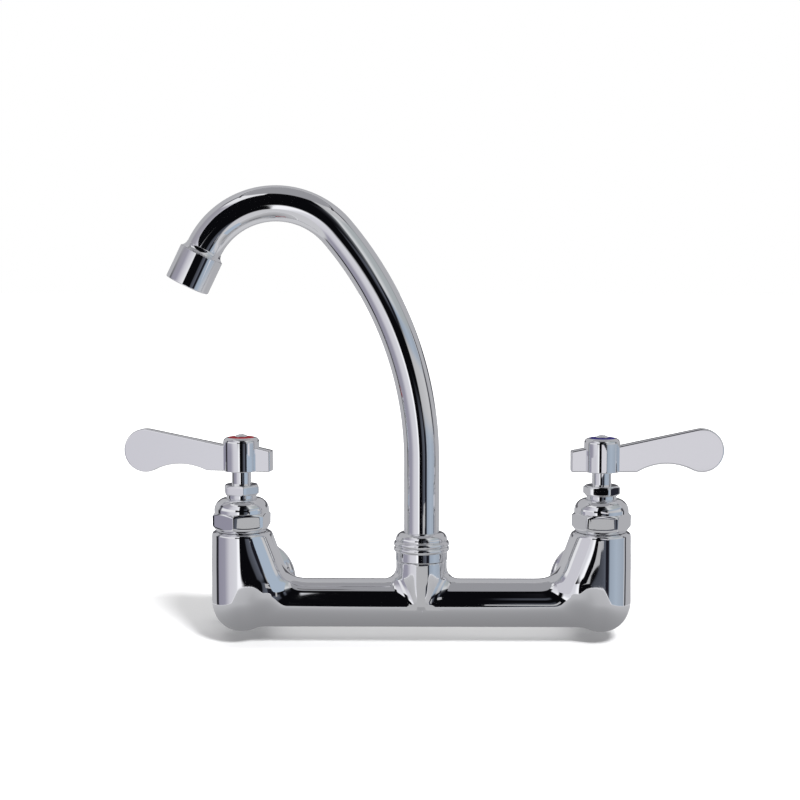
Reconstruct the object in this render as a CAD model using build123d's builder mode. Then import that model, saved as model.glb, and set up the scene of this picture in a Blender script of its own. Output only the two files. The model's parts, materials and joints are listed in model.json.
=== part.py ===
"""Two-handle wall faucet on 8 inch centres, with a swivelling gooseneck spout.

Frame: the origin is midway between the two inlets, on the wall.  +X is to the right (the cold
side), +Y goes into the wall and +Z is up.  Every length is in millimetres.
"""

from build123d import *
from math import cos, radians, sin, tan
import os

# ---- driving dimensions -------------------------------------------------------------------
VALVE_CENTRES = 203.2          # 8 inches between the valve axes
VALVE_DEPTH = 65.0             # wall to valve axes, crossbar and spout

RUNNING_GAP = 0.1              # between a turning piece and the hole that holds it
FIT_GAP = 0.05                 # between pieces that are screwed, pressed or brazed together

# one-piece body: two legs, the crossbar that joins them and the neck for the spout
LEG_R = 17.1
LEG_TOP = 41.0
LEG_RIM_ROUND = 1.4
CROSSBAR_R = 13.75
LEG_FLARE_R = 25.0             # the sweep from each leg into the crossbar
NECK_R = 14.4
NECK_SHOULDER = 24.7           # the height where the spout nut sits
NECK_TOP = 36.0
NECK_THREAD_R = 13.2
NECK_FLARE_R = 7.0
NECK_BORE_R = 11.4
NECK_BORE_FLOOR = 5.0
WATERWAY_R = 10.0
WATERWAY_END = 30.0            # from the valve axis to the end of the crossbar's waterway
RISER_R = 5.0                  # the sloping passage from the waterway up to the valve
RISER_TOP = 15.5
INLET_CHAMBER_R = 8.0
INLET_CHAMBER_FLOOR = -9.0
SEAT_HOLE_R = 7.0

# ceramic quarter-turn cartridge in each leg
SEAT_HEIGHT = 5.0
CARTRIDGE_R = 10.9
CARTRIDGE_CAVITY_R = 8.9
CARTRIDGE_GALLERY_R = 12.6     # the groove round the cartridge's windows
GALLERY_LOW = 11.0
GALLERY_HIGH = 21.0
WINDOW_WIDTH = 9.0
WINDOW_LOW = 12.5
WINDOW_HIGH = 18.0
COLLAR_LOW = 24.0
COLLAR_HIGH = 29.0
CARTRIDGE_NECK_R = 8.4
DISC_R = 8.8
DISC_PORT_R = 2.4
DISC_PORT_OFFSET = 5.4
FIXED_DISC_LOW = 8.0
FIXED_DISC_THICK = 3.5
MOVING_DISC_THICK = 3.4
DRIVE_BAR_WIDTH = 7.0
DRIVE_BAR_DEPTH = 1.3
STEM_R = 5.5
STEM_FLANGE_R = 8.2
STEM_FLANGE_LOW = 17.4
STEM_FLANGE_HIGH = 18.9
STEM_RING_HEIGHT = 34.0        # where the O-ring sits
STEM_RING_WIRE_R = 0.6
STEM_SQUARE = 7.6

# bonnet over the cartridge, and the packing nut above it
BONNET_THREAD_R = 13.0
BONNET_BORE_R = 9.4
BONNET_SEAT_R = 14.5
HEX_LOW = 41.6
HEX_HIGH = 52.0
HEX_FLATS = 29.8
HEX_LOW_CHAMFER = 3.1
HEX_HIGH_CHAMFER = 1.6
DOME_R = 15.4
DOME_ROUND = 7.0
DOME_TOP = 60.0
DOME_LIP = 3.2
PACKING_LOW = 61.7
PACKING_HIGH = 67.5
PACKING_FLATS = 18.6
PACKING_CHAMFER = 0.8
PACKING_THREAD_R = 6.9
PACKING_ROOF = 1.7
PACKING_RING_THICK = 1.3

# lever handles
HUB_R = 10.15
HUB_LOW = 75.4
HUB_HIGH = 94.1
HUB_ROUND = 2.6
SOCKET_DEPTH = 11.6
PADDLE_R = 12.35
PADDLE_REACH = 56.2            # valve axis to the middle of the paddle
PADDLE_HEIGHT = 87.4
BLADE_RISE = 12.25             # slope of the blade's top edge, in degrees
ARCH_START = 19.6              # where the hollow under the blade begins
ARCH_END_ANGLE = 243.0         # where it meets the paddle's round edge, in degrees
TAIL_REACH = 17.6
TAIL_TOP = 86.9
TAIL_RISE = 11.5               # slope of the tail's top edge, in degrees
ROOT_THICK = 8.0
TIP_THICK = 5.0
BLADE_ROUND = 0.7
INDEX_R = 7.35
INDEX_RECESS = 0.7
INDEX_THICK = 0.9
SCREW_HEAD_R = 3.7
SCREW_HEAD_RISE = 2.5
SCREW_SHANK_R = 2.45
SCREW_LENGTH = 13.0
SCREW_SLOT = 1.0

# inlet union behind each leg, measured out from the wall
ARM_THREAD_R = 13.2
ARM_BORE_R = 7.0
GASKET_THICK = 2.0
SHANK_COLLAR_R = 11.8
SHANK_COLLAR_THICK = 3.0
SHANK_R = 9.6
FLANGE_R = 24.5
FLANGE_RIM = 2.5
FLANGE_DOME = 9.5              # height where the dome meets the boss
FLANGE_DOME_R = 24.0
FLANGE_BOSS_R = 14.5
PIPE_BORE_R = 9.15             # tapping size of a 1/2 inch pipe thread
PIPE_BORE_DEPTH = 12.0
SHANK_THREAD_R = 10.0
UNION_FLATS = 32.0
UNION_LIP = 3.0
UNION_LENGTH = 14.0
UNION_CLEARANCE = 0.9          # from the union nut to the back of the leg
UNION_GAP = 2.0                # from the flange's boss to the union nut
UNION_CHAMFER = 1.5

# spout
SPOUT_R = 10.0
SPOUT_WALL = 1.2
SPOUT_FOOT = 26.0
SPOUT_STRAIGHT_TOP = 81.0
SPOUT_RISE_R = 198.0
SPOUT_RISE_ANGLE = 40.3
SPOUT_CROWN_R = 44.8
SPOUT_CROWN_ANGLE = 114.0
SPOUT_OUTLET_RUN = 2.9         # straight tube before the aerator
SPOUT_SOCKET_DEPTH = 4.0
FERRULE_LOW = 8.0
FERRULE_BORE_R = 8.0
FERRULE_FLANGE_R = 12.9
FERRULE_FLANGE_THICK = 1.8
SEAL_RING_WIRE_R = 0.85
SEAL_RING_HEIGHTS = (13.0, 20.0)
THRUST_WASHER_THICK = 0.6
NUT_HEIGHT = 15.9
NUT_LIP = 2.0
NUT_BAND_R = 14.75
NUT_BAND_HIGH = 5.1
NUT_RIB_R = 15.75
NUT_RIBS = 2
NUT_RIB_PITCH = 2.9
NUT_CROWN_R = 14.6

# spout end and aerator, measured along the outlet from the top of the shell
SHELL_R = 12.5
SHELL_LENGTH = 19.4
SHELL_EDGE = 0.4
SHELL_THREAD_R = 11.0
SHELL_BORE_R = 10.6
SHELL_MOUTH_R = 9.9
SHELL_MOUTH_LIP = 1.4
ADAPTOR_FLARE_R = 12.0
ADAPTOR_RISE = 3.5
ADAPTOR_THREAD = 8.5
AERATOR_GASKET_THICK = 1.5
INSERT_FLANGE_THICK = 1.2
INSERT_HOLES = 8
INSERT_HOLE_R = 1.2
SCREEN_THICK = 0.4
SCREEN_HOLE_R = 0.6
SCREEN_RINGS = 4               # rings of holes
SCREEN_FIRST_RING = 6          # holes in the innermost ring

# ---- sizes that follow --------------------------------------------------------------------
HALF_CENTRES = VALVE_CENTRES / 2
UNION_FRONT = VALVE_DEPTH - LEG_R - UNION_CLEARANCE
UNION_BACK = UNION_FRONT - UNION_LENGTH
FLANGE_BOSS = UNION_BACK - UNION_GAP
COLLAR_BACK = UNION_BACK + UNION_LIP
COLLAR_FRONT = COLLAR_BACK + SHANK_COLLAR_THICK
ARM_END = COLLAR_FRONT + GASKET_THICK
MOVING_DISC_LOW = FIXED_DISC_LOW + FIXED_DISC_THICK + FIT_GAP
MOVING_DISC_HIGH = MOVING_DISC_LOW + MOVING_DISC_THICK
CARTRIDGE_TOP = PACKING_HIGH - PACKING_ROOF - PACKING_RING_THICK
FLANGE_SEAT = NECK_TOP + RUNNING_GAP
FLANGE_TOP = FLANGE_SEAT + FERRULE_FLANGE_THICK
NUT_TOP = NECK_SHOULDER + NUT_HEIGHT
INDEX_SEAT = HUB_HIGH - INDEX_RECESS
SPOUT_TURN = SPOUT_RISE_ANGLE + SPOUT_CROWN_ANGLE
GASKET_LOW = ADAPTOR_THREAD + FIT_GAP
INSERT_LOW = GASKET_LOW + AERATOR_GASKET_THICK
INSERT_SEAT = INSERT_LOW + INSERT_FLANGE_THICK
MOUTH_FLOOR = SHELL_LENGTH - SHELL_MOUTH_LIP
SCREEN_LOW = MOUTH_FLOOR - SCREEN_THICK

# each side: name, direction of X, angle of its lever, turn of its bonnet and of its packing nut
SIDES = (
    ("hot", -1, 170.0, 20.5, 43.0),
    ("cold", 1, 0.0, -3.0, -13.0),
)


def turn(plane, *points, mode=Mode.ADD):
    """Turn a closed outline of (radius, height) points about the plane's own Y axis."""
    with BuildSketch(plane) as outline:
        with BuildLine():
            Polyline(*points, close=True)
        make_face()
    revolve(outline.sketch, axis=Axis(plane.origin, plane.y_dir), mode=mode)


def bore(plane, radius, low, high):
    """Cut a round hole along the plane's Y axis."""
    turn(plane, (0, low), (radius, low), (radius, high), (0, high), mode=Mode.SUBTRACT)


def across(plane, height):
    """The plane at right angles to this plane's Y axis, a height along it."""
    return Plane(plane.origin + plane.y_dir * height, x_dir=plane.x_dir, z_dir=plane.y_dir)


def hexagon(plane, flats, low, high, spin):
    """A six-sided prism along the plane's Y axis."""
    with BuildSketch(across(plane, low)) as outline:
        RegularPolygon(flats / 2, 6, major_radius=False, rotation=spin)
    extrude(outline.sketch, amount=high - low)


def o_ring(plane, bore_radius, wire_radius, height):
    """A round-section ring that stands round the plane's Y axis."""
    with BuildSketch(plane) as section:
        with Locations((bore_radius + wire_radius, height)):
            Circle(wire_radius)
    revolve(section.sketch, axis=Axis(plane.origin, plane.y_dir))


def edges_between(piece, x_a, x_b, z_high):
    """The edges that lie wholly between two values of X and below a height."""
    chosen = []
    for edge in piece.edges():
        box = edge.bounding_box()
        if min(x_a, x_b) < box.min.X and box.max.X < max(x_a, x_b) and box.max.Z < z_high:
            chosen.append(edge)
    return chosen


def save(piece, name):
    """Label a finished piece and write it out."""
    piece.part.label = name
    export_step(piece.part, f"parts/{name}.step")


def upright(x):
    """Plane through a vertical axis at x: its own X is to the right, its own Y is up."""
    return Plane((x, -VALVE_DEPTH, 0), x_dir=(1, 0, 0), z_dir=(0, -1, 0))


def from_wall(x):
    """Plane through an inlet axis at x: its own X is sideways, its own Y is out from the wall."""
    return Plane((x, 0, 0), x_dir=(1, 0, 0), z_dir=(0, 0, -1))


os.makedirs("parts", exist_ok=True)

# ---- body casting -------------------------------------------------------------------------
with BuildPart() as body_casting:
    with BuildSketch(Plane.YZ.offset(-HALF_CENTRES)):
        with Locations((-VALVE_DEPTH, 0)):
            Circle(CROSSBAR_R)
    extrude(amount=VALVE_CENTRES)
    # each leg ends in a half ball, centred on the crossbar's axis
    for side in (-1, 1):
        leg = upright(side * HALF_CENTRES)
        with BuildSketch(leg):
            with BuildLine():
                ball = CenterArc((0, 0), LEG_R, -90, 90)
                Polyline(ball @ 1, (LEG_R, LEG_TOP), (0, LEG_TOP), ball @ 0)
            make_face()
        revolve(axis=Axis(leg.origin, leg.y_dir))
    # the corner between each leg and the crossbar is a wide sweep
    for side in (-1, 1):
        inner_side = side * (HALF_CENTRES - LEG_R - FIT_GAP)
        middle = side * (HALF_CENTRES - LEG_R / 2)
        fillet(edges_between(body_casting, inner_side, middle, LEG_R), radius=LEG_FLARE_R)
    rims = body_casting.faces().filter_by(Axis.Z).group_by(Axis.Z)[-1].edges()
    fillet(rims, radius=LEG_RIM_ROUND)
    # neck for the spout, with a ball foot inside the crossbar
    neck = upright(0)
    with BuildSketch(neck):
        with BuildLine():
            foot = CenterArc((0, 0), NECK_R, -90, 90)
            Polyline(
                foot @ 1,
                (NECK_R, NECK_SHOULDER),
                (NECK_THREAD_R, NECK_SHOULDER),
                (NECK_THREAD_R, NECK_TOP),
                (0, NECK_TOP),
                foot @ 0,
            )
        make_face()
    revolve(axis=Axis(neck.origin, neck.y_dir))
    for side in (-1, 1):
        neck_side = side * (NECK_R + FIT_GAP)
        fillet(edges_between(body_casting, side, neck_side, NECK_R), radius=NECK_FLARE_R)
    # inlet arms, threaded for the union nuts
    for side in (-1, 1):
        inlet = from_wall(side * HALF_CENTRES)
        turn(
            inlet,
            (0, ARM_END),
            (ARM_THREAD_R - UNION_CHAMFER / 2, ARM_END),
            (ARM_THREAD_R, ARM_END + UNION_CHAMFER / 2),
            (ARM_THREAD_R, VALVE_DEPTH),
            (0, VALVE_DEPTH),
        )
    # waterway along the crossbar and up into the neck
    with BuildSketch(Plane.YZ.offset(WATERWAY_END - HALF_CENTRES)):
        with Locations((-VALVE_DEPTH, 0)):
            Circle(WATERWAY_R)
    extrude(amount=VALVE_CENTRES - 2 * WATERWAY_END, mode=Mode.SUBTRACT)
    bore(neck, NECK_BORE_R, NECK_BORE_FLOOR, NECK_TOP)
    for side in (-1, 1):
        leg = upright(side * HALF_CENTRES)
        inlet = from_wall(side * HALF_CENTRES)
        # from the top: bonnet thread and collar, cartridge, gallery, seat hole, inlet chamber
        bore(leg, BONNET_THREAD_R + FIT_GAP, COLLAR_LOW, LEG_TOP)
        bore(leg, CARTRIDGE_R + FIT_GAP, SEAT_HEIGHT, COLLAR_LOW)
        bore(leg, CARTRIDGE_GALLERY_R, GALLERY_LOW, GALLERY_HIGH)
        bore(leg, SEAT_HOLE_R, 0, SEAT_HEIGHT)
        turn(
            leg,
            (0, INLET_CHAMBER_FLOOR),
            (INLET_CHAMBER_R - UNION_CHAMFER, INLET_CHAMBER_FLOOR),
            (INLET_CHAMBER_R, INLET_CHAMBER_FLOOR + UNION_CHAMFER),
            (INLET_CHAMBER_R, 0),
            (0, 0),
            mode=Mode.SUBTRACT,
        )
        bore(inlet, ARM_BORE_R, ARM_END, VALVE_DEPTH)
        # sloping riser from the end of the waterway to the gallery
        low_end = Vector(side * (HALF_CENTRES - WATERWAY_END - RISER_R), -VALVE_DEPTH, 0)
        high_end = Vector(side * (HALF_CENTRES - CARTRIDGE_R), -VALVE_DEPTH, RISER_TOP)
        rise = high_end - low_end
        with BuildSketch(Plane(low_end, z_dir=rise)):
            Circle(RISER_R)
        extrude(amount=rise.length, mode=Mode.SUBTRACT)
save(body_casting, "body_casting")

# ---- the union, valve and handle on each side ---------------------------------------------
for side_name, side, lever_angle, bonnet_spin, packing_spin in SIDES:
    leg = upright(side * HALF_CENTRES)
    inlet = from_wall(side * HALF_CENTRES)
    lever_way = Vector(cos(radians(lever_angle)), sin(radians(lever_angle)), 0)
    lever = Plane(leg.origin, x_dir=lever_way, z_dir=lever_way.cross(Vector(0, 0, 1)))

    with BuildPart() as wall_flange:
        with BuildSketch(inlet):
            with BuildLine():
                rim = Polyline((0, 0), (FLANGE_R, 0), (FLANGE_R, FLANGE_RIM))
                crown = RadiusArc(rim @ 1, (FLANGE_BOSS_R, FLANGE_DOME), -FLANGE_DOME_R)
                Polyline(crown @ 1, (FLANGE_BOSS_R, FLANGE_BOSS), (0, FLANGE_BOSS), rim @ 0)
            make_face()
        revolve(axis=Axis(inlet.origin, inlet.y_dir))
        bore(inlet, PIPE_BORE_R, 0, PIPE_BORE_DEPTH)
        bore(inlet, SHANK_THREAD_R + FIT_GAP, PIPE_BORE_DEPTH, FLANGE_BOSS)
    save(wall_flange, f"{side_name}_wall_flange")

    with BuildPart() as inlet_shank:
        turn(
            inlet,
            (ARM_BORE_R, PIPE_BORE_DEPTH),
            (SHANK_THREAD_R, PIPE_BORE_DEPTH),
            (SHANK_THREAD_R, FLANGE_BOSS),
            (SHANK_R, FLANGE_BOSS),
            (SHANK_R, COLLAR_BACK),
            (SHANK_COLLAR_R, COLLAR_BACK),
            (SHANK_COLLAR_R, COLLAR_FRONT),
            (ARM_BORE_R, COLLAR_FRONT),
        )
    save(inlet_shank, f"{side_name}_inlet_shank")

    with BuildPart() as inlet_gasket:
        turn(
            inlet,
            (ARM_BORE_R, COLLAR_FRONT),
            (SHANK_COLLAR_R, COLLAR_FRONT),
            (SHANK_COLLAR_R, ARM_END),
            (ARM_BORE_R, ARM_END),
        )
    save(inlet_gasket, f"{side_name}_inlet_gasket")

    with BuildPart() as union_nut:
        hexagon(inlet, UNION_FLATS, UNION_BACK, UNION_FRONT, 0)
        turn(
            inlet,
            (0, UNION_BACK),
            (UNION_FLATS / 2, UNION_BACK),
            (UNION_FLATS / 2 + 2 * UNION_CHAMFER, UNION_BACK + UNION_CHAMFER),
            (UNION_FLATS / 2 + 2 * UNION_CHAMFER, UNION_FRONT - UNION_CHAMFER),
            (UNION_FLATS / 2, UNION_FRONT),
            (0, UNION_FRONT),
            mode=Mode.INTERSECT,
        )
        bore(inlet, SHANK_R + RUNNING_GAP, UNION_BACK, COLLAR_BACK)
        bore(inlet, ARM_THREAD_R + FIT_GAP, COLLAR_BACK, UNION_FRONT)
    save(union_nut, f"{side_name}_union_nut")

    with BuildPart() as cartridge:
        turn(
            leg,
            (0, SEAT_HEIGHT),
            (CARTRIDGE_R, SEAT_HEIGHT),
            (CARTRIDGE_R, COLLAR_LOW),
            (BONNET_THREAD_R, COLLAR_LOW),
            (BONNET_THREAD_R, COLLAR_HIGH),
            (CARTRIDGE_NECK_R, COLLAR_HIGH),
            (CARTRIDGE_NECK_R, PACKING_LOW),
            (PACKING_THREAD_R, PACKING_LOW),
            (PACKING_THREAD_R, CARTRIDGE_TOP),
            (0, CARTRIDGE_TOP),
        )
        bore(leg, CARTRIDGE_CAVITY_R, SEAT_HEIGHT, STEM_FLANGE_HIGH + FIT_GAP)
        bore(leg, STEM_R + RUNNING_GAP, SEAT_HEIGHT, CARTRIDGE_TOP)
        with BuildSketch(across(leg, WINDOW_LOW)):
            Rectangle(2 * CARTRIDGE_R, WINDOW_WIDTH)
        extrude(amount=WINDOW_HIGH - WINDOW_LOW, mode=Mode.SUBTRACT)
    save(cartridge, f"{side_name}_cartridge")

    with BuildPart() as seat_seal:
        turn(
            leg,
            (SEAT_HOLE_R, SEAT_HEIGHT),
            (DISC_R, SEAT_HEIGHT),
            (DISC_R, FIXED_DISC_LOW),
            (SEAT_HOLE_R, FIXED_DISC_LOW),
        )
    save(seat_seal, f"{side_name}_seat_seal")

    with BuildPart() as fixed_disc:
        with BuildSketch(across(leg, FIXED_DISC_LOW)):
            Circle(DISC_R)
            with Locations((DISC_PORT_OFFSET, 0), (-DISC_PORT_OFFSET, 0)):
                Circle(DISC_PORT_R, mode=Mode.SUBTRACT)
        extrude(amount=FIXED_DISC_THICK)
    save(fixed_disc, f"{side_name}_fixed_disc")

    # the stem's drive bar lies along the lever, so the ports are shut when the lever is
    drive = across(lever, MOVING_DISC_HIGH - DRIVE_BAR_DEPTH)
    with BuildPart() as moving_disc:
        with BuildSketch(across(lever, MOVING_DISC_LOW)):
            Circle(DISC_R)
            with Locations((0, DISC_PORT_OFFSET), (0, -DISC_PORT_OFFSET)):
                Circle(DISC_PORT_R, mode=Mode.SUBTRACT)
        extrude(amount=MOVING_DISC_THICK)
        with BuildSketch(drive):
            Rectangle(2 * DISC_R, DRIVE_BAR_WIDTH + 2 * RUNNING_GAP)
        extrude(amount=DRIVE_BAR_DEPTH, mode=Mode.SUBTRACT)
    save(moving_disc, f"{side_name}_moving_disc")

    with BuildPart() as stem:
        with BuildSketch(drive):
            Circle(STEM_FLANGE_R)
            Rectangle(2 * DISC_R, DRIVE_BAR_WIDTH, mode=Mode.INTERSECT)
        extrude(amount=STEM_FLANGE_LOW - MOVING_DISC_HIGH + DRIVE_BAR_DEPTH)
        turn(
            leg,
            (0, STEM_FLANGE_LOW),
            (STEM_FLANGE_R, STEM_FLANGE_LOW),
            (STEM_FLANGE_R, STEM_FLANGE_HIGH),
            (STEM_R, STEM_FLANGE_HIGH),
            (STEM_R, HUB_LOW),
            (0, HUB_LOW),
        )
        # groove for the stem's O-ring
        turn(
            leg,
            (STEM_R - 2 * STEM_RING_WIRE_R, STEM_RING_HEIGHT - STEM_RING_WIRE_R - FIT_GAP),
            (STEM_R, STEM_RING_HEIGHT - STEM_RING_WIRE_R - FIT_GAP),
            (STEM_R, STEM_RING_HEIGHT + STEM_RING_WIRE_R + FIT_GAP),
            (STEM_R - 2 * STEM_RING_WIRE_R, STEM_RING_HEIGHT + STEM_RING_WIRE_R + FIT_GAP),
            mode=Mode.SUBTRACT,
        )
        # square that drives the handle, drilled for its screw
        with BuildSketch(across(lever, HUB_LOW)):
            Rectangle(STEM_SQUARE, STEM_SQUARE)
        extrude(amount=SOCKET_DEPTH - FIT_GAP)
        bore(leg, SCREW_SHANK_R + FIT_GAP, INDEX_SEAT - SCREW_LENGTH - FIT_GAP, INDEX_SEAT)
    save(stem, f"{side_name}_stem")

    with BuildPart() as stem_o_ring:
        o_ring(
            leg, STEM_R - 2 * STEM_RING_WIRE_R + FIT_GAP / 2, STEM_RING_WIRE_R, STEM_RING_HEIGHT
        )
    save(stem_o_ring, f"{side_name}_stem_o_ring")

    with BuildPart() as bonnet:
        hexagon(leg, HEX_FLATS, HEX_LOW, HEX_HIGH, bonnet_spin)
        hex_corner = HEX_FLATS / 2 / cos(radians(30))
        turn(
            leg,
            (0, HEX_LOW),
            (hex_corner - HEX_LOW_CHAMFER, HEX_LOW),
            (hex_corner, HEX_LOW + HEX_LOW_CHAMFER),
            (hex_corner, HEX_HIGH - HEX_HIGH_CHAMFER),
            (DOME_R, HEX_HIGH),
            (0, HEX_HIGH),
            mode=Mode.INTERSECT,
        )
        with BuildSketch(leg):
            with BuildLine():
                wall = Line((DOME_R, HEX_HIGH), (DOME_R, DOME_TOP - DOME_ROUND))
                shoulder = CenterArc(
                    (DOME_R - DOME_ROUND, DOME_TOP - DOME_ROUND), DOME_ROUND, 0, 90
                )
                Polyline(shoulder @ 1, (0, DOME_TOP), (0, HEX_HIGH), wall @ 0)
            make_face()
        revolve(axis=Axis(leg.origin, leg.y_dir))
        # seat on the leg's rim, and the thread that goes down to the cartridge's collar
        turn(
            leg,
            (0, COLLAR_HIGH),
            (BONNET_THREAD_R, COLLAR_HIGH),
            (BONNET_THREAD_R, LEG_TOP),
            (BONNET_SEAT_R, LEG_TOP),
            (BONNET_SEAT_R, HEX_LOW),
            (0, HEX_LOW),
        )
        bore(leg, BONNET_BORE_R, COLLAR_HIGH, DOME_TOP - DOME_LIP)
        bore(leg, CARTRIDGE_NECK_R + FIT_GAP, DOME_TOP - DOME_LIP, DOME_TOP)
    save(bonnet, f"{side_name}_bonnet")

    with BuildPart() as packing_ring:
        turn(
            leg,
            (STEM_R + RUNNING_GAP, CARTRIDGE_TOP),
            (PACKING_THREAD_R, CARTRIDGE_TOP),
            (PACKING_THREAD_R, CARTRIDGE_TOP + PACKING_RING_THICK),
            (STEM_R + RUNNING_GAP, CARTRIDGE_TOP + PACKING_RING_THICK),
        )
    save(packing_ring, f"{side_name}_packing_ring")

    with BuildPart() as packing_nut:
        hexagon(leg, PACKING_FLATS, PACKING_LOW, PACKING_HIGH, packing_spin)
        nut_corner = PACKING_FLATS / 2 / cos(radians(30))
        turn(
            leg,
            (0, PACKING_LOW),
            (nut_corner - 2 * PACKING_CHAMFER, PACKING_LOW),
            (nut_corner, PACKING_LOW + PACKING_CHAMFER),
            (nut_corner, PACKING_HIGH - PACKING_CHAMFER),
            (nut_corner - 2 * PACKING_CHAMFER, PACKING_HIGH),
            (0, PACKING_HIGH),
            mode=Mode.INTERSECT,
        )
        bore(leg, PACKING_THREAD_R + FIT_GAP, PACKING_LOW, PACKING_HIGH - PACKING_ROOF)
        bore(leg, STEM_R + RUNNING_GAP, PACKING_HIGH - PACKING_ROOF, PACKING_HIGH)
    save(packing_nut, f"{side_name}_packing_nut")

    with BuildPart() as handle:
        # side view of the blade: paddle, sloping top, tail, and the arch underneath
        tail_high = TAIL_TOP + (TAIL_REACH - HUB_R / 2) * tan(radians(TAIL_RISE))
        slope = radians(BLADE_RISE)
        paddle_top = (PADDLE_REACH - PADDLE_R * sin(slope), PADDLE_HEIGHT + PADDLE_R * cos(slope))
        root_high = paddle_top[1] - (paddle_top[0] - HUB_R / 2) * tan(slope)
        arch_end = Vector(PADDLE_R, 0).rotate(Axis.Z, ARCH_END_ANGLE)
        arch_end = arch_end + Vector(PADDLE_REACH, PADDLE_HEIGHT)
        arch_way = Vector(0, -1).rotate(Axis.Z, ARCH_END_ANGLE)
        arch_start = (ARCH_START, HUB_LOW)
        with BuildSketch(lever):
            with BuildLine():
                paddle = ThreePointArc(
                    arch_end, (PADDLE_REACH + PADDLE_R, PADDLE_HEIGHT), paddle_top
                )
                Polyline(
                    paddle @ 1,
                    (HUB_R / 2, root_high),
                    (-HUB_R / 2, tail_high),
                    (-TAIL_REACH, TAIL_TOP),
                    (-TAIL_REACH, HUB_LOW),
                    arch_start,
                )
                TangentArc(arch_end, arch_start, tangent=arch_way)
            make_face()
        extrude(amount=ROOT_THICK, both=True)
        # plan view of the blade: it thins evenly from the tail to the paddle
        tip = PADDLE_REACH + PADDLE_R
        with BuildSketch(across(lever, HUB_LOW - PADDLE_R)):
            with BuildLine():
                Polyline(
                    (-TAIL_REACH, -ROOT_THICK / 2),
                    (tip, -TIP_THICK / 2),
                    (tip, TIP_THICK / 2),
                    (-TAIL_REACH, ROOT_THICK / 2),
                    close=True,
                )
            make_face()
        extrude(amount=4 * PADDLE_R, mode=Mode.INTERSECT)
        fillet(handle.edges(), radius=BLADE_ROUND)
        # hub
        with BuildSketch(leg):
            with BuildLine():
                side_wall = Polyline((0, HUB_LOW), (HUB_R, HUB_LOW), (HUB_R, HUB_HIGH - HUB_ROUND))
                brow = CenterArc((HUB_R - HUB_ROUND, HUB_HIGH - HUB_ROUND), HUB_ROUND, 0, 90)
                Polyline(brow @ 1, (0, HUB_HIGH), side_wall @ 0)
            make_face()
        revolve(axis=Axis(leg.origin, leg.y_dir))
        bore(leg, INDEX_R + FIT_GAP, INDEX_SEAT, HUB_HIGH + PADDLE_R)
        bore(leg, SCREW_SHANK_R + FIT_GAP, HUB_LOW, HUB_HIGH)
        with BuildSketch(across(lever, HUB_LOW)):
            Rectangle(STEM_SQUARE + 2 * FIT_GAP, STEM_SQUARE + 2 * FIT_GAP)
        extrude(amount=SOCKET_DEPTH, mode=Mode.SUBTRACT)
    save(handle, f"{side_name}_handle")

    with BuildPart() as index_ring:
        turn(
            leg,
            (SCREW_HEAD_R + FIT_GAP, INDEX_SEAT),
            (INDEX_R, INDEX_SEAT),
            (INDEX_R, INDEX_SEAT + INDEX_THICK - FIT_GAP),
            (INDEX_R - FIT_GAP, INDEX_SEAT + INDEX_THICK),
            (SCREW_HEAD_R + FIT_GAP, INDEX_SEAT + INDEX_THICK),
        )
    save(index_ring, f"{side_name}_index_ring")

    with BuildPart() as handle_screw:
        with BuildSketch(leg):
            with BuildLine():
                head_edge = (SCREW_HEAD_R, INDEX_SEAT + SCREW_HEAD_RISE / 2)
                head_top = (0, INDEX_SEAT + SCREW_HEAD_RISE)
                shank = Polyline(
                    head_top,
                    (0, INDEX_SEAT - SCREW_LENGTH),
                    (SCREW_SHANK_R, INDEX_SEAT - SCREW_LENGTH),
                    (SCREW_SHANK_R, INDEX_SEAT),
                    (SCREW_HEAD_R, INDEX_SEAT),
                    head_edge,
                )
                TangentArc(head_top, shank @ 1, tangent=(1, 0))
            make_face()
        revolve(axis=Axis(leg.origin, leg.y_dir))
        with BuildSketch(across(leg, INDEX_SEAT + SCREW_HEAD_RISE / 2)):
            Rectangle(2 * SCREW_HEAD_R, SCREW_SLOT, rotation=lever_angle)
        extrude(amount=SCREW_HEAD_RISE, mode=Mode.SUBTRACT)
    save(handle_screw, f"{side_name}_handle_screw")

# ---- spout --------------------------------------------------------------------------------
centre = upright(0)

with BuildPart() as spout_tube:
    with BuildLine(centre) as spout_run:
        riser = Line((0, SPOUT_FOOT + FIT_GAP), (0, SPOUT_STRAIGHT_TOP))
        rise = JernArc(riser @ 1, riser % 1, SPOUT_RISE_R, SPOUT_RISE_ANGLE)
        crown = JernArc(rise @ 1, rise % 1, SPOUT_CROWN_R, SPOUT_CROWN_ANGLE)
        outlet_way = crown % 1
        shell_top = (crown @ 1) + outlet_way * SPOUT_OUTLET_RUN
        Line(crown @ 1, shell_top + outlet_way * SPOUT_SOCKET_DEPTH)
    with BuildSketch(Plane(riser @ 0, x_dir=(1, 0, 0), z_dir=(0, 0, 1))):
        Circle(SPOUT_R)
        Circle(SPOUT_R - SPOUT_WALL, mode=Mode.SUBTRACT)
    sweep(path=spout_run.line)
save(spout_tube, "spout_tube")

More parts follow.
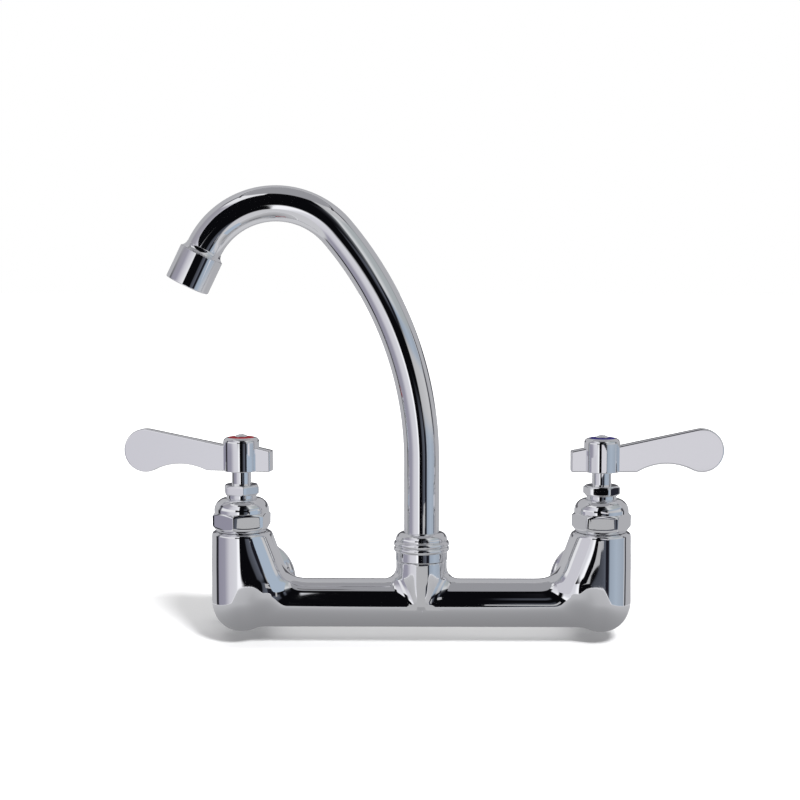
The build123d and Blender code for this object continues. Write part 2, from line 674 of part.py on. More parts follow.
with BuildPart() as spout_ferrule:
    turn(
        centre,
        (FERRULE_BORE_R, FERRULE_LOW),
        (NECK_BORE_R - RUNNING_GAP, FERRULE_LOW),
        (NECK_BORE_R - RUNNING_GAP, FLANGE_SEAT),
        (FERRULE_FLANGE_R, FLANGE_SEAT),
        (FERRULE_FLANGE_R, FLANGE_TOP),
        (FERRULE_BORE_R, FLANGE_TOP),
    )
    bore(centre, SPOUT_R + FIT_GAP / 2, SPOUT_FOOT, FLANGE_TOP)
    for ring_height in SEAL_RING_HEIGHTS:
        groove_floor = NECK_BORE_R - RUNNING_GAP - 2 * SEAL_RING_WIRE_R
        turn(
            centre,
            (groove_floor, ring_height - SEAL_RING_WIRE_R - FIT_GAP),
            (NECK_BORE_R, ring_height - SEAL_RING_WIRE_R - FIT_GAP),
            (NECK_BORE_R, ring_height + SEAL_RING_WIRE_R + FIT_GAP),
            (groove_floor, ring_height + SEAL_RING_WIRE_R + FIT_GAP),
            mode=Mode.SUBTRACT,
        )
save(spout_ferrule, "spout_ferrule")

with BuildPart() as spout_o_rings:
    for ring_height in SEAL_RING_HEIGHTS:
        ring_bore = NECK_BORE_R - RUNNING_GAP / 2 - 2 * SEAL_RING_WIRE_R
        o_ring(centre, ring_bore, SEAL_RING_WIRE_R, ring_height)
save(spout_o_rings, "spout_o_rings")

with BuildPart() as thrust_washer:
    turn(
        centre,
        (SPOUT_R + 2 * RUNNING_GAP, NUT_TOP - NUT_LIP - THRUST_WASHER_THICK),
        (FERRULE_FLANGE_R, NUT_TOP - NUT_LIP - THRUST_WASHER_THICK),
        (FERRULE_FLANGE_R, NUT_TOP - NUT_LIP),
        (SPOUT_R + 2 * RUNNING_GAP, NUT_TOP - NUT_LIP),
    )
save(thrust_washer, "thrust_washer")

with BuildPart() as spout_nut:
    with BuildSketch(centre):
        with BuildLine():
            band = Polyline(
                (0, NECK_SHOULDER),
                (NUT_BAND_R, NECK_SHOULDER),
                (NUT_BAND_R, NECK_SHOULDER + NUT_BAND_HIGH),
            )
            # the round ribs, then the crown
            for rib in range(NUT_RIBS):
                low = NECK_SHOULDER + NUT_BAND_HIGH + rib * NUT_RIB_PITCH
                rib_arc = ThreePointArc(
                    (NUT_BAND_R, low),
                    (NUT_RIB_R, low + NUT_RIB_PITCH / 2),
                    (NUT_BAND_R, low + NUT_RIB_PITCH),
                )
            crown_low = rib_arc @ 1
            crown_high = (NUT_CROWN_R - NUT_LIP, NUT_TOP)
            nut_crown = TangentArc(crown_high, crown_low, tangent=(1, 0))
            Polyline(crown_high, (0, NUT_TOP), band @ 0)
        make_face()
    revolve(axis=Axis(centre.origin, centre.y_dir))
    bore(centre, NECK_THREAD_R + FIT_GAP, NECK_SHOULDER, NUT_TOP - NUT_LIP)
    bore(centre, SPOUT_R + 2 * RUNNING_GAP, NUT_TOP - NUT_LIP, NUT_TOP)
save(spout_nut, "spout_nut")

# ---- spout end and aerator ----------------------------------------------------------------
turned = radians(SPOUT_TURN)
outlet = Plane(shell_top, x_dir=(cos(turned), 0, sin(turned)), z_dir=(0, -1, 0))

with BuildPart() as outlet_adaptor:
    with BuildSketch(outlet):
        with BuildLine():
            flare_foot = (SPOUT_R + 2 * FIT_GAP, -ADAPTOR_RISE)
            flare = TangentArc(flare_foot, (ADAPTOR_FLARE_R, -FIT_GAP), tangent=(0, 1))
            Polyline(
                flare @ 1,
                (ADAPTOR_FLARE_R, 0),
                (SHELL_THREAD_R, 0),
                (SHELL_THREAD_R, ADAPTOR_THREAD),
                (SPOUT_R - SPOUT_WALL, ADAPTOR_THREAD),
                (SPOUT_R - SPOUT_WALL, SPOUT_SOCKET_DEPTH),
                (SPOUT_R + FIT_GAP / 2, SPOUT_SOCKET_DEPTH),
                (SPOUT_R + FIT_GAP / 2, -ADAPTOR_RISE),
                flare_foot,
            )
        make_face()
    revolve(axis=Axis(outlet.origin, outlet.y_dir))
save(outlet_adaptor, "outlet_adaptor")

with BuildPart() as aerator_shell:
    turn(
        outlet,
        (SHELL_MOUTH_R, SHELL_LENGTH),
        (SHELL_R - SHELL_EDGE, SHELL_LENGTH),
        (SHELL_R, SHELL_LENGTH - SHELL_EDGE),
        (SHELL_R, SHELL_EDGE),
        (SHELL_R - SHELL_EDGE, 0),
        (SHELL_THREAD_R + FIT_GAP, 0),
        (SHELL_THREAD_R + FIT_GAP, INSERT_SEAT),
        (SHELL_BORE_R, INSERT_SEAT),
        (SHELL_BORE_R, MOUTH_FLOOR),
        (SHELL_MOUTH_R, MOUTH_FLOOR),
    )
save(aerator_shell, "aerator_shell")

with BuildPart() as aerator_gasket:
    turn(
        outlet,
        (SPOUT_R - SPOUT_WALL, GASKET_LOW),
        (SHELL_THREAD_R, GASKET_LOW),
        (SHELL_THREAD_R, INSERT_LOW),
        (SPOUT_R - SPOUT_WALL, INSERT_LOW),
    )
save(aerator_gasket, "aerator_gasket")

with BuildPart() as aerator_insert:
    turn(
        outlet,
        (0, INSERT_LOW),
        (SHELL_THREAD_R, INSERT_LOW),
        (SHELL_THREAD_R, INSERT_SEAT),
        (SHELL_BORE_R - FIT_GAP, INSERT_SEAT),
        (SHELL_BORE_R - FIT_GAP, SCREEN_LOW),
        (0, SCREEN_LOW),
    )
    with BuildSketch(across(outlet, INSERT_LOW)):
        with PolarLocations(SHELL_BORE_R / 2, INSERT_HOLES):
            Circle(INSERT_HOLE_R)
    extrude(amount=SCREEN_LOW - INSERT_LOW, mode=Mode.SUBTRACT)
save(aerator_insert, "aerator_insert")

with BuildPart() as aerator_screen:
    with BuildSketch(across(outlet, SCREEN_LOW)):
        Circle(SHELL_BORE_R - FIT_GAP)
        ring_step = SHELL_MOUTH_R / (SCREEN_RINGS + 1 / 2)
        for ring in range(1, SCREEN_RINGS + 1):
            with PolarLocations(ring * ring_step, SCREEN_FIRST_RING * ring):
                Circle(SCREEN_HOLE_R, mode=Mode.SUBTRACT)
    extrude(amount=SCREEN_THICK)
save(aerator_screen, "aerator_screen")
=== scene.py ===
"""Looks for a chrome wall faucet: polished body, lever valves, gooseneck spout and studio.

Lengths in the makers below are millimetres, as on a drawing; every mesh is stored in metres.
"""

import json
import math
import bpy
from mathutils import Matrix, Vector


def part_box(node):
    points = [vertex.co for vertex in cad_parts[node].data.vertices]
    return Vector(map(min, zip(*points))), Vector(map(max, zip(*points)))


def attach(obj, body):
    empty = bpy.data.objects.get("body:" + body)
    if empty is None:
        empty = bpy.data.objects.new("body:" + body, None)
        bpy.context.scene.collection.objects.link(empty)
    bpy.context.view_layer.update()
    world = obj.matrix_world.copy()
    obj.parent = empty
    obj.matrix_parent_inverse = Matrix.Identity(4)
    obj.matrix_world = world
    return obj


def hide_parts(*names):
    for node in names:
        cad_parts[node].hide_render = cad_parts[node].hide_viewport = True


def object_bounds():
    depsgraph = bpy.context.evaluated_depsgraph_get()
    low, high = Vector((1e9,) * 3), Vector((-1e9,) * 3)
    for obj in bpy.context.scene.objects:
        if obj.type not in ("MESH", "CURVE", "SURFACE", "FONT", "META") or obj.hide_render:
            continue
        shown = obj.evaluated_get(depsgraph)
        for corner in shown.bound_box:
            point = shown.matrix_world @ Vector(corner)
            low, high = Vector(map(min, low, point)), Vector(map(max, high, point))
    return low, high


bl_info = {
    "name": "Wall Faucet",
    "version": (1, 0, 0),
    "blender": (4, 5, 0),
    "location": "View3D > Sidebar > Faucet",
    "description": "Builds the pieces and finishes of a chrome wall faucet round its frame",
    "category": "Object",
}

import bpy
import numpy as np
from mathutils import Matrix, Vector

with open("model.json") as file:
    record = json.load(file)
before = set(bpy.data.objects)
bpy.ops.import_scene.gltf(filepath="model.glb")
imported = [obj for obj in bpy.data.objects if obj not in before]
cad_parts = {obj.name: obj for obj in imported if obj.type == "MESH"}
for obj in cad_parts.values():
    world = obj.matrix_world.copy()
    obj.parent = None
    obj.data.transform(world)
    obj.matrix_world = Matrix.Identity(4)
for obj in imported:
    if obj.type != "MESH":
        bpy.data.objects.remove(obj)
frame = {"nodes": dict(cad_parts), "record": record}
CAD_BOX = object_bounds()

MM = 0.001
SIDES = ("hot", "cold")


# ---- what the frame says ------------------------------------------------------------------
def middle(node):
    """The middle of a CAD node's box, in millimetres."""
    low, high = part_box(node)
    return (low + high) / 2 / MM


def half_width(node):
    """Half of a CAD node's size along X, in millimetres."""
    low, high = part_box(node)
    return (high.x - low.x) / 2 / MM


def heights(node):
    """The heights of a CAD node's bottom and top, in millimetres."""
    low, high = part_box(node)
    return low.z / MM, high.z / MM


VALVE_X = {side: middle(f"{side}_index_ring").x for side in SIDES}
VALVE_Y = middle("cold_index_ring").y


# ---- sizes and colours a user would change ------------------------------------------------
class FaucetSizes(bpy.types.PropertyGroup):
    """Sizes of the pieces, with defaults from the frame where it has them."""

    edge_round: bpy.props.FloatProperty(
        name="Edge round",
        description="Radius of the polished edges on the turned pieces, in millimetres",
        default=0.35, min=0.1, max=1.0,
    )
    blade_round: bpy.props.FloatProperty(
        name="Blade round", description="Radius of the edges of the lever blades, in millimetres",
        default=0.75, min=0.2, max=1.2,
    )
    nut_corner: bpy.props.FloatProperty(
        name="Nut corner sharpness",
        description="How crisp the upright edges of the hexagons are", default=34.0, min=10.0,
        max=90.0,
    )
    spout_radius: bpy.props.FloatProperty(
        name="Spout radius", description="Outer radius of the spout tube, in millimetres",
        default=(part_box("spout_tube")[1].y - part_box("spout_tube")[0].y) / 2 / MM - 0.01, min=5.0,
        max=20.0,
    )
    skin_step: bpy.props.FloatProperty(
        name="Skin step", description="Spacing of the mesh on the cast body, in millimetres",
        default=0.9, min=0.5, max=3.0,
    )
    around: bpy.props.IntProperty(
        name="Steps around", description="How many steps go round each turned piece", default=120,
        min=24, max=360,
    )


class FaucetColours(bpy.types.PropertyGroup):
    """Colours of the finishes."""

    chrome: bpy.props.FloatVectorProperty(
        name="Chrome", description="Tint of the polished chrome plate", subtype="COLOR", size=3,
        default=(0.87, 0.875, 0.89), min=0.0, max=1.0,
    )
    hot: bpy.props.FloatVectorProperty(
        name="Hot index", description="Colour of the ring on the hot lever", subtype="COLOR",
        size=3, default=(0.18, 0.0015, 0.006), min=0.0, max=1.0,
    )
    cold: bpy.props.FloatVectorProperty(
        name="Cold index", description="Colour of the ring on the cold lever", subtype="COLOR",
        size=3, default=(0.006, 0.001, 0.08), min=0.0, max=1.0,
    )
    chrome_roughness: bpy.props.FloatProperty(
        name="Chrome roughness", description="How much the chrome blurs what it reflects",
        subtype="FACTOR", default=0.035, min=0.0, max=0.5,
    )


class FaucetStudio(bpy.types.PropertyGroup):
    """The camera, and the tent of cards that the chrome reflects."""

    camera_target: bpy.props.FloatVectorProperty(
        name="Camera target", description="Point that the camera looks at", subtype="TRANSLATION",
        unit="LENGTH", size=3, default=(0.0108, VALVE_Y * MM, 0.1154),
    )
    camera_distance: bpy.props.FloatProperty(
        name="Camera distance", description="Distance from the camera to its target",
        unit="LENGTH", default=0.9, min=0.2, max=5.0,
    )
    camera_pitch: bpy.props.FloatProperty(
        name="Camera pitch", description="How far the camera looks down", subtype="ANGLE",
        default=math.radians(5.0),
    )
    camera_roll: bpy.props.FloatProperty(
        name="Camera roll", description="How far the camera leans to its left", subtype="ANGLE",
        default=math.radians(0.15),
    )
    lens: bpy.props.FloatProperty(
        name="Lens", description="Focal length on a 36 millimetre sensor, in millimetres",
        default=72.1, min=20.0, max=200.0,
    )
    shift: bpy.props.FloatProperty(
        name="Shift",
        description="Sideways shift of the camera, as a share of the picture's width",
        default=-0.0512, min=-0.2, max=0.2,
    )
    tent_radius: bpy.props.FloatProperty(
        name="Tent radius",
        description="Distance from the faucet to the cards that the chrome reflects",
        unit="LENGTH", default=0.6, min=0.4, max=2.0,
    )


# ---- mesh tools ---------------------------------------------------------------------------
def turned_outline(corners, steps=5):
    """Points of an outline with rounded corners.

    corners is a list of (radius, height, round).  Returns the points, and at each one the
    direction that the outline faces, as arrays.
    """
    points, facings = [], []
    last = len(corners) - 1
    for i, (r, h, rounding) in enumerate(corners):
        here = np.array((r, h), float)
        before = np.array(corners[i - 1][:2], float) if i else None
        after = np.array(corners[i + 1][:2], float) if i < last else None
        come = None if before is None else (here - before) / np.linalg.norm(here - before)
        go = None if after is None else (after - here) / np.linalg.norm(after - here)
        at_end = come is None or go is None
        swing = 0.0 if at_end else math.acos(max(-1.0, min(1.0, float(come @ go))))
        if swing < 1e-4 or rounding == 0:
            if at_end:
                way = go if come is None else come
            else:
                way = (come + go) / np.linalg.norm(come + go)
            points.append(here)
            facings.append((way[1], -way[0]))
            continue
        reach = rounding * math.tan(swing / 2)
        room = 0.49 * min(np.linalg.norm(here - before), np.linalg.norm(after - here))
        reach = min(reach, room)
        radius = reach / math.tan(swing / 2)
        sign = 1.0 if come[0] * go[1] - come[1] * go[0] > 0 else -1.0
        start = here - come * reach
        centre = start + sign * radius * np.array((-come[1], come[0]))
        first = math.atan2(start[1] - centre[1], start[0] - centre[0])
        for k in range(steps + 1):
            angle = first + sign * swing * k / steps
            out = np.array((math.cos(angle), math.sin(angle)))
            points.append(centre + radius * out)
            facings.append(tuple(out * sign))
    return np.array(points), np.array(facings)


def arc_outline(centre, radius, start, stop, steps):
    """Corners along an arc, with no rounding of their own; angles in degrees."""
    found = []
    for k in range(steps + 1):
        angle = math.radians(start + (stop - start) * k / steps)
        found.append(
            (centre[0] + radius * math.cos(angle), centre[1] + radius * math.sin(angle), 0.0)
        )
    return found


def mesh_object(name, points, faces, normals=None, material=None):
    """A shown mesh, in metres, from points in millimetres."""
    points = np.asarray(points, float)
    if normals is not None:
        # every face turns its front the way the normals point
        first, second, third = (points[[f[i] for f in faces]] for i in range(3))
        outward = np.cross(second - first, third - first)
        wanted = normals[[f[0] for f in faces]]
        if float((outward * wanted).sum()) < 0:
            faces = [f[::-1] for f in faces]
    mesh = bpy.data.meshes.new(name)
    mesh.from_pydata((points * MM).tolist(), [], faces)
    mesh.update()
    mesh.polygons.foreach_set("use_smooth", [True] * len(mesh.polygons))
    if normals is not None:
        long = np.linalg.norm(normals, axis=1, keepdims=True)
        mesh.normals_split_custom_set_from_vertices((normals / np.maximum(long, 1e-12)).tolist())
    piece = bpy.data.objects.new(name, mesh)
    bpy.context.scene.collection.objects.link(piece)
    if material is not None:
        mesh.materials.append(material)
    return piece


def grid_faces(rows, columns, wrap_rows=False):
    """Faces of a grid whose columns close on themselves."""
    faces = []
    for i in range(rows if wrap_rows else rows - 1):
        low, high = i * columns, ((i + 1) % rows) * columns
        for j in range(columns):
            k = (j + 1) % columns
            faces.append((low + j, low + k, high + k, high + j))
    return faces


def turned(name, corners, origin, axis, side_way, material, limit=None, steps=5, around=None):
    """A turned piece: a closed outline of (radius, height, round) swept round an axis.

    limit(height) gives the half width across flats there, or None where the piece is round.
    """
    around = around or sizes().around
    ring = list(corners)
    area = sum(a[0] * b[1] - b[0] * a[1] for a, b in zip(ring, ring[1:] + ring[:1]))
    if area < 0:
        ring.reverse()
    start = ((ring[0][0] + ring[-1][0]) / 2, (ring[0][1] + ring[-1][1]) / 2, 0.0)
    points, facings = turned_outline([start] + ring + [start], steps)
    points, facings = points[:-1], facings[:-1]
    up = np.array(axis, float) / np.linalg.norm(axis)
    right = np.array(side_way, float) / np.linalg.norm(side_way)
    front = np.cross(up, right)
    origin = np.array(origin, float)
    turn = np.linspace(0, 2 * math.pi, around, endpoint=False)
    cos, sin = np.cos(turn), np.sin(turn)
    out = np.outer(cos, right) + np.outer(sin, front)
    along = np.outer(-sin, right) + np.outer(cos, front)
    places, normals = [], []
    power = sizes().nut_corner
    for (r, h), (face_r, face_h) in zip(points, facings):
        width = limit(h) if limit else None
        if width is None:
            radius, slope, share = np.full(around, r), np.zeros(around), np.ones(around)
        else:
            flats = np.array([math.cos(t % (math.pi / 3) - math.pi / 6) for t in turn])
            lean = np.array([math.sin(t % (math.pi / 3) - math.pi / 6) for t in turn])
            hexagon = width / flats
            radius = (r**-power + hexagon**-power) ** (-1 / power)
            slope = (radius / hexagon) ** (power + 1) * hexagon * lean / flats
            share = (radius / r) ** (power + 1)
        places.append(origin + up * h + out * radius[:, None])
        # the surface's two directions: along the outline and round the axis
        rise = out * (-face_h * share)[:, None] + up * face_r
        round_way = out * slope[:, None] + along * radius[:, None]
        normals.append(np.cross(round_way, rise))
    places, normals = np.concatenate(places), np.concatenate(normals)
    faces = grid_faces(len(points), around, wrap_rows=True)
    return mesh_object(name, places, faces, normals, material)


def upright(name, corners, x=0.0, spin=0.0, slot="chrome", **more):
    """A turned piece on a valve's axis, or on the spout's where x is nought."""
    way = (math.cos(spin), math.sin(spin), 0.0)
    return turned(name, corners, (x, VALVE_Y, 0.0), (0, 0, 1), way, finish(slot), **more)


def swept_tube(name, path, radius, wall, material, around=64):
    """A tube along a flat path of (x, z, tangent angle) in the plane of the spout."""
    turn = np.linspace(0, 2 * math.pi, around, endpoint=False)
    places, normals = [], []
    runs = [(path, radius, 1.0), (path[::-1], radius - wall, -1.0)]
    for way, r, sign in runs:
        for x, z, angle in way:
            across = np.array((math.sin(angle), 0.0, -math.cos(angle)))
            deep = np.array((0.0, -1.0, 0.0))
            out = np.outer(np.cos(turn), across) + np.outer(np.sin(turn), deep)
            places.append(np.array((x, VALVE_Y, z)) + out * r)
            normals.append(out * sign)
    places, normals = np.concatenate(places), np.concatenate(normals)
    faces = grid_faces(2 * len(path), around, wrap_rows=True)
    return mesh_object(name, places, faces, normals, material)


def plate(name, outline, facings, thickness, rounding, origin, way, material, steps=5):
    """A plate with rounded edges: an outline of (reach, height) points in an upright plane.

    thickness(reach) gives the whole thickness there.
    """
    way = np.array(way, float)
    up = np.array((0.0, 0.0, 1.0))
    front = np.cross(way, up)
    origin = np.array(origin, float)
    outline, facings = np.array(outline), np.array(facings)
    half = np.array([thickness(r) / 2 for r in outline[:, 0]])
    angles = np.linspace(-math.pi / 2, math.pi / 2, 2 * steps)
    places, normals = [], []
    for angle in angles:
        inset = rounding * (1 - math.cos(angle))
        sideways = math.copysign(1.0, angle) * (half - rounding) + rounding * math.sin(angle)
        flat = outline - facings * inset
        places.append(
            origin + np.outer(flat[:, 0], way) + np.outer(flat[:, 1], up)
            + np.outer(sideways, front)
        )
        edge = np.outer(facings[:, 0], way) + np.outer(facings[:, 1], up)
        normals.append(edge * math.cos(angle) + front * math.sin(angle))
    count = len(outline)
    faces = grid_faces(len(angles), count)
    faces.append(tuple(range(count))[::-1])
    faces.append(tuple(range((len(angles) - 1) * count, len(angles) * count)))
    return mesh_object(name, np.concatenate(places), faces, np.concatenate(normals), material)


def blend(a, b, reach):
    """The nearer of two distances, with a smooth sweep between them; reach may vary."""
    near = np.maximum(reach - np.abs(a - b), 0.0) / reach
    return np.minimum(a, b) - near**3 * reach / 6


def filleted(a, b, alike, radius):
    """Two shapes joined by a ball's fillet; alike is the cosine between their faces."""
    p, q = radius - a, radius - b
    alike = np.clip(alike, -0.99, 0.9999)
    reached = np.sqrt(np.maximum(p * p + q * q - 2.0 * p * q * alike, 0.0) / (1.0 - alike**2))
    inside = (p > 0.0) & (q > 0.0) & (p > q * alike) & (q > p * alike)
    return np.where(inside, radius - reached, np.minimum(a, b))


def skinned(name, distance, low, high, step, material):
    """The surface where distance(x, y, z) is nought, as even quads with true normals."""
    axes = [np.arange(a, b + step, step) for a, b in zip(low, high)]
    x, y, z = np.meshgrid(*axes, indexing="ij", sparse=True)
    field = distance(x, y, z)
    shape = tuple(n - 1 for n in field.shape)
    total, count = np.zeros(shape + (3,)), np.zeros(shape)
    quads = []
    inside = field < 0
    number = np.arange(shape[0] * shape[1] * shape[2]).reshape(shape)
    for way in range(3):
        near = [slice(None)] * 3
        far = [slice(None)] * 3
        near[way], far[way] = slice(0, -1), slice(1, None)
        a, b = field[tuple(near)], field[tuple(far)]
        crossing = inside[tuple(near)] != inside[tuple(far)]
        part = np.where(crossing, a / np.where(crossing, a - b, 1.0), 0.0)
        p, q = (way + 1) % 3, (way + 2) % 3
        # each crossed grid edge touches four cells, and makes one quad
        for dp in (0, 1):
            for dq in (0, 1):
                cut = [slice(None)] * 3
                cut[p] = slice(dp, dp + shape[p])
                cut[q] = slice(dq, dq + shape[q])
                hit = crossing[tuple(cut)]
                count += hit
                total[..., way] += np.where(hit, part[tuple(cut)], 0.0)
                total[..., p] += hit * dp
                total[..., q] += hit * dq
        where = np.argwhere(crossing)
        fits = (where[:, p] > 0) & (where[:, q] > 0)
        fits &= (where[:, p] < shape[p]) & (where[:, q] < shape[q])
        where = where[fits]
        corners = []
        for dp, dq in ((1, 1), (0, 1), (0, 0), (1, 0)):
            cell = where.copy()
            cell[:, p] -= dp
            cell[:, q] -= dq
            corners.append(number[tuple(cell.T)])
        quad = np.stack(corners, axis=1)
        outward = inside[tuple(where.T)]
        quads.append(np.where(outward[:, None], quad, quad[:, ::-1]))
    quads = np.concatenate(quads)
    used = np.unique(quads)
    cells = np.argwhere(count > -1)[used]
    points = (cells + (total.reshape(-1, 3)[used] / count.reshape(-1)[used][:, None])) * step
    points += np.array([axis[0] for axis in axes])

    reach = 0.02

    def slope(at):
        nudges = reach * np.eye(3)
        parts = [distance(*(at + nudge).T) - distance(*(at - nudge).T) for nudge in nudges]
        return np.stack(parts, axis=1) / (2 * reach)

    for _ in range(5):
        lean = slope(points)
        length = np.maximum((lean**2).sum(axis=1), 0.25)
        shift = np.clip(distance(*points.T) / length, -step / 2, step / 2)
        points -= lean * shift[:, None]
    place = np.full(number.size, -1)
    place[used] = np.arange(len(used))
    return mesh_object(name, points, place[quads].tolist(), slope(points), material)


def finish_piece(piece, body, slot, *nodes):
    """A new piece rides on its body and stands for its CAD nodes."""
    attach(piece, body)
    if nodes:
        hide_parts(*nodes)
    return piece


# ---- finishes -----------------------------------------------------------------------------
def wire(tree, socket, value):
    """Link an output to this input, or set the input's own number or colour."""
    if isinstance(value, bpy.types.NodeSocket):
        tree.links.new(value, socket)
    else:
        socket.default_value = (*value, 1.0) if socket.type == "RGBA" else value


def add_node(tree, kind, inputs=None, **settings):
    """A new node with its settings, and with what goes into its inputs."""
    made = tree.nodes.new(kind)
    for name, value in settings.items():
        setattr(made, name, value)
    for place, value in (inputs or {}).items():
        wire(tree, made.inputs[place], value)
    return made


def spread(tree, value, come=(0.0, 1.0), go=(0.0, 1.0), way="LINEAR"):
    """A value taken from one range to another."""
    ends = {"From Min": come[0], "From Max": come[1], "To Min": go[0], "To Max": go[1]}
    made = add_node(tree, "ShaderNodeMapRange", {"Value": value, **ends}, interpolation_type=way)
    return made.outputs["Result"]


def mixed(tree, share, first, second):
    """One colour that turns into another; each is a socket or a plain colour."""
    inputs = {0: share, 6: first, 7: second}
    return add_node(tree, "ShaderNodeMix", inputs, data_type="RGBA").outputs[2]


def maths(tree, operation, *values):
    """What an operation makes of sockets and numbers."""
    inputs = dict(enumerate(values))
    return add_node(tree, "ShaderNodeMath", inputs, operation=operation).outputs[0]


def own_place(tree):
    """The object's own coordinates, so that patterns stay with it."""
    return add_node(tree, "ShaderNodeTexCoord").outputs["Object"]


def noise(tree, scale, detail):
    """Noise that stays with the object."""
    inputs = {"Scale": scale, "Detail": detail, "Vector": own_place(tree)}
    return add_node(tree, "ShaderNodeTexNoise", inputs).outputs["Fac"]


def new_material(name):
    """A material with its own node tree."""
    material = bpy.data.materials.new(name)
    material.use_nodes = True
    return material, material.node_tree


def shade(tree, inputs):
    """Set inputs of a material's main shader."""
    for name, value in inputs.items():
        wire(tree, tree.nodes["Principled BSDF"].inputs[name], value)


def bumped(tree, height, strength, distance):
    """The surface's direction, with small bumps."""
    inputs = {"Strength": strength, "Distance": distance, "Height": height}
    return add_node(tree, "ShaderNodeBump", inputs).outputs["Normal"]


def polished_metal(name, colour, roughness, ripple):
    """Plated or bare metal: a smooth gloss with faint buffing ripples and duller patches."""
    material, tree = new_material(name)
    shade(tree, {
        "Base Color": colour,
        "Metallic": 1.0,
        "Roughness": spread(tree, noise(tree, 90.0, 3.0), go=(roughness * 0.6, roughness * 1.5)),
        "Normal": bumped(tree, noise(tree, 160.0, 1.0), ripple, 0.0002),
    })
    return material


def moulded(name, colour, roughness, scale, coat=0.0, shine=0.5):
    """Rubber, plastic, enamel or ceramic: mottled colour and a fine grain."""
    material, tree = new_material(name)
    grain = noise(tree, scale, 4.0)
    dark, pale = [c * 0.82 for c in colour], [min(1.0, c * 1.12) for c in colour]
    shade(tree, {
        "Base Color": mixed(tree, grain, dark, pale),
        "Roughness": spread(tree, grain, go=(roughness * 0.8, roughness * 1.2)),
        "Specular IOR Level": shine,
        "Coat Weight": coat,
        "Coat Roughness": 0.05,
        "Normal": bumped(tree, grain, 0.08, 0.0001),
    })
    return material


def finish(name):
    """The material of one of the record's slots, made when it is first asked for."""
    full = f"faucet_{name}"
    if full not in bpy.data.materials:
        colours = bpy.context.scene.faucet_colours
        make, *settings = {
            "chrome": (polished_metal, colours.chrome, colours.chrome_roughness, 0.02),
            "brass": (polished_metal, (0.72, 0.55, 0.27), 0.22, 0.2),
            "steel": (polished_metal, (0.62, 0.62, 0.63), 0.28, 0.3),
            "rubber": (moulded, (0.025, 0.025, 0.027), 0.6, 900.0),
            "white_plastic": (moulded, (0.78, 0.78, 0.75), 0.4, 500.0),
            "ceramic": (moulded, (0.85, 0.85, 0.82), 0.15, 300.0, 0.3),
            "hot_red": (moulded, colours.hot, 0.5, 700.0, 0.0, 0.12),
            "cold_blue": (moulded, colours.cold, 0.5, 700.0, 0.0, 0.12),
        }[name]
        make(full, *settings)
    return bpy.data.materials[full]


def dress(node):
    """Give a carried-over CAD node the finish of its slot."""
    slots = {row["node"]: row["material_slot"] for row in frame["record"]["subparts"]}
    piece = frame["nodes"][node]
    piece.data.materials.clear()
    piece.data.materials.append(finish(slots[node]))


def sizes():
    """The sizes set in the sidebar."""
    return bpy.context.scene.faucet_sizes


# ---- one operator for each piece ----------------------------------------------------------
class FAUCET_OT_body(bpy.types.Operator):
    """Polish the one-piece body: legs, crossbar and neck"""

    bl_idname = "faucet.body"
    bl_label = "Body"

    def execute(self, context):
        reach = VALVE_X["cold"] + 18.0
        skin = skinned(
            "body_skin",
            body_distance,
            (-reach, VALVE_Y - 19.0, -18.5), (reach, VALVE_Y + 26.0, 43.0),
            sizes().skin_step,
            finish("chrome"),
        )
        finish_piece(skin, "fixed", "chrome", "body_casting")
        return {"FINISHED"}


def soft_step(value):
    """From 0 to 1 with a soft start and end."""
    share = np.clip(value, 0.0, 1.0)
    return share * share * (3 - 2 * share)


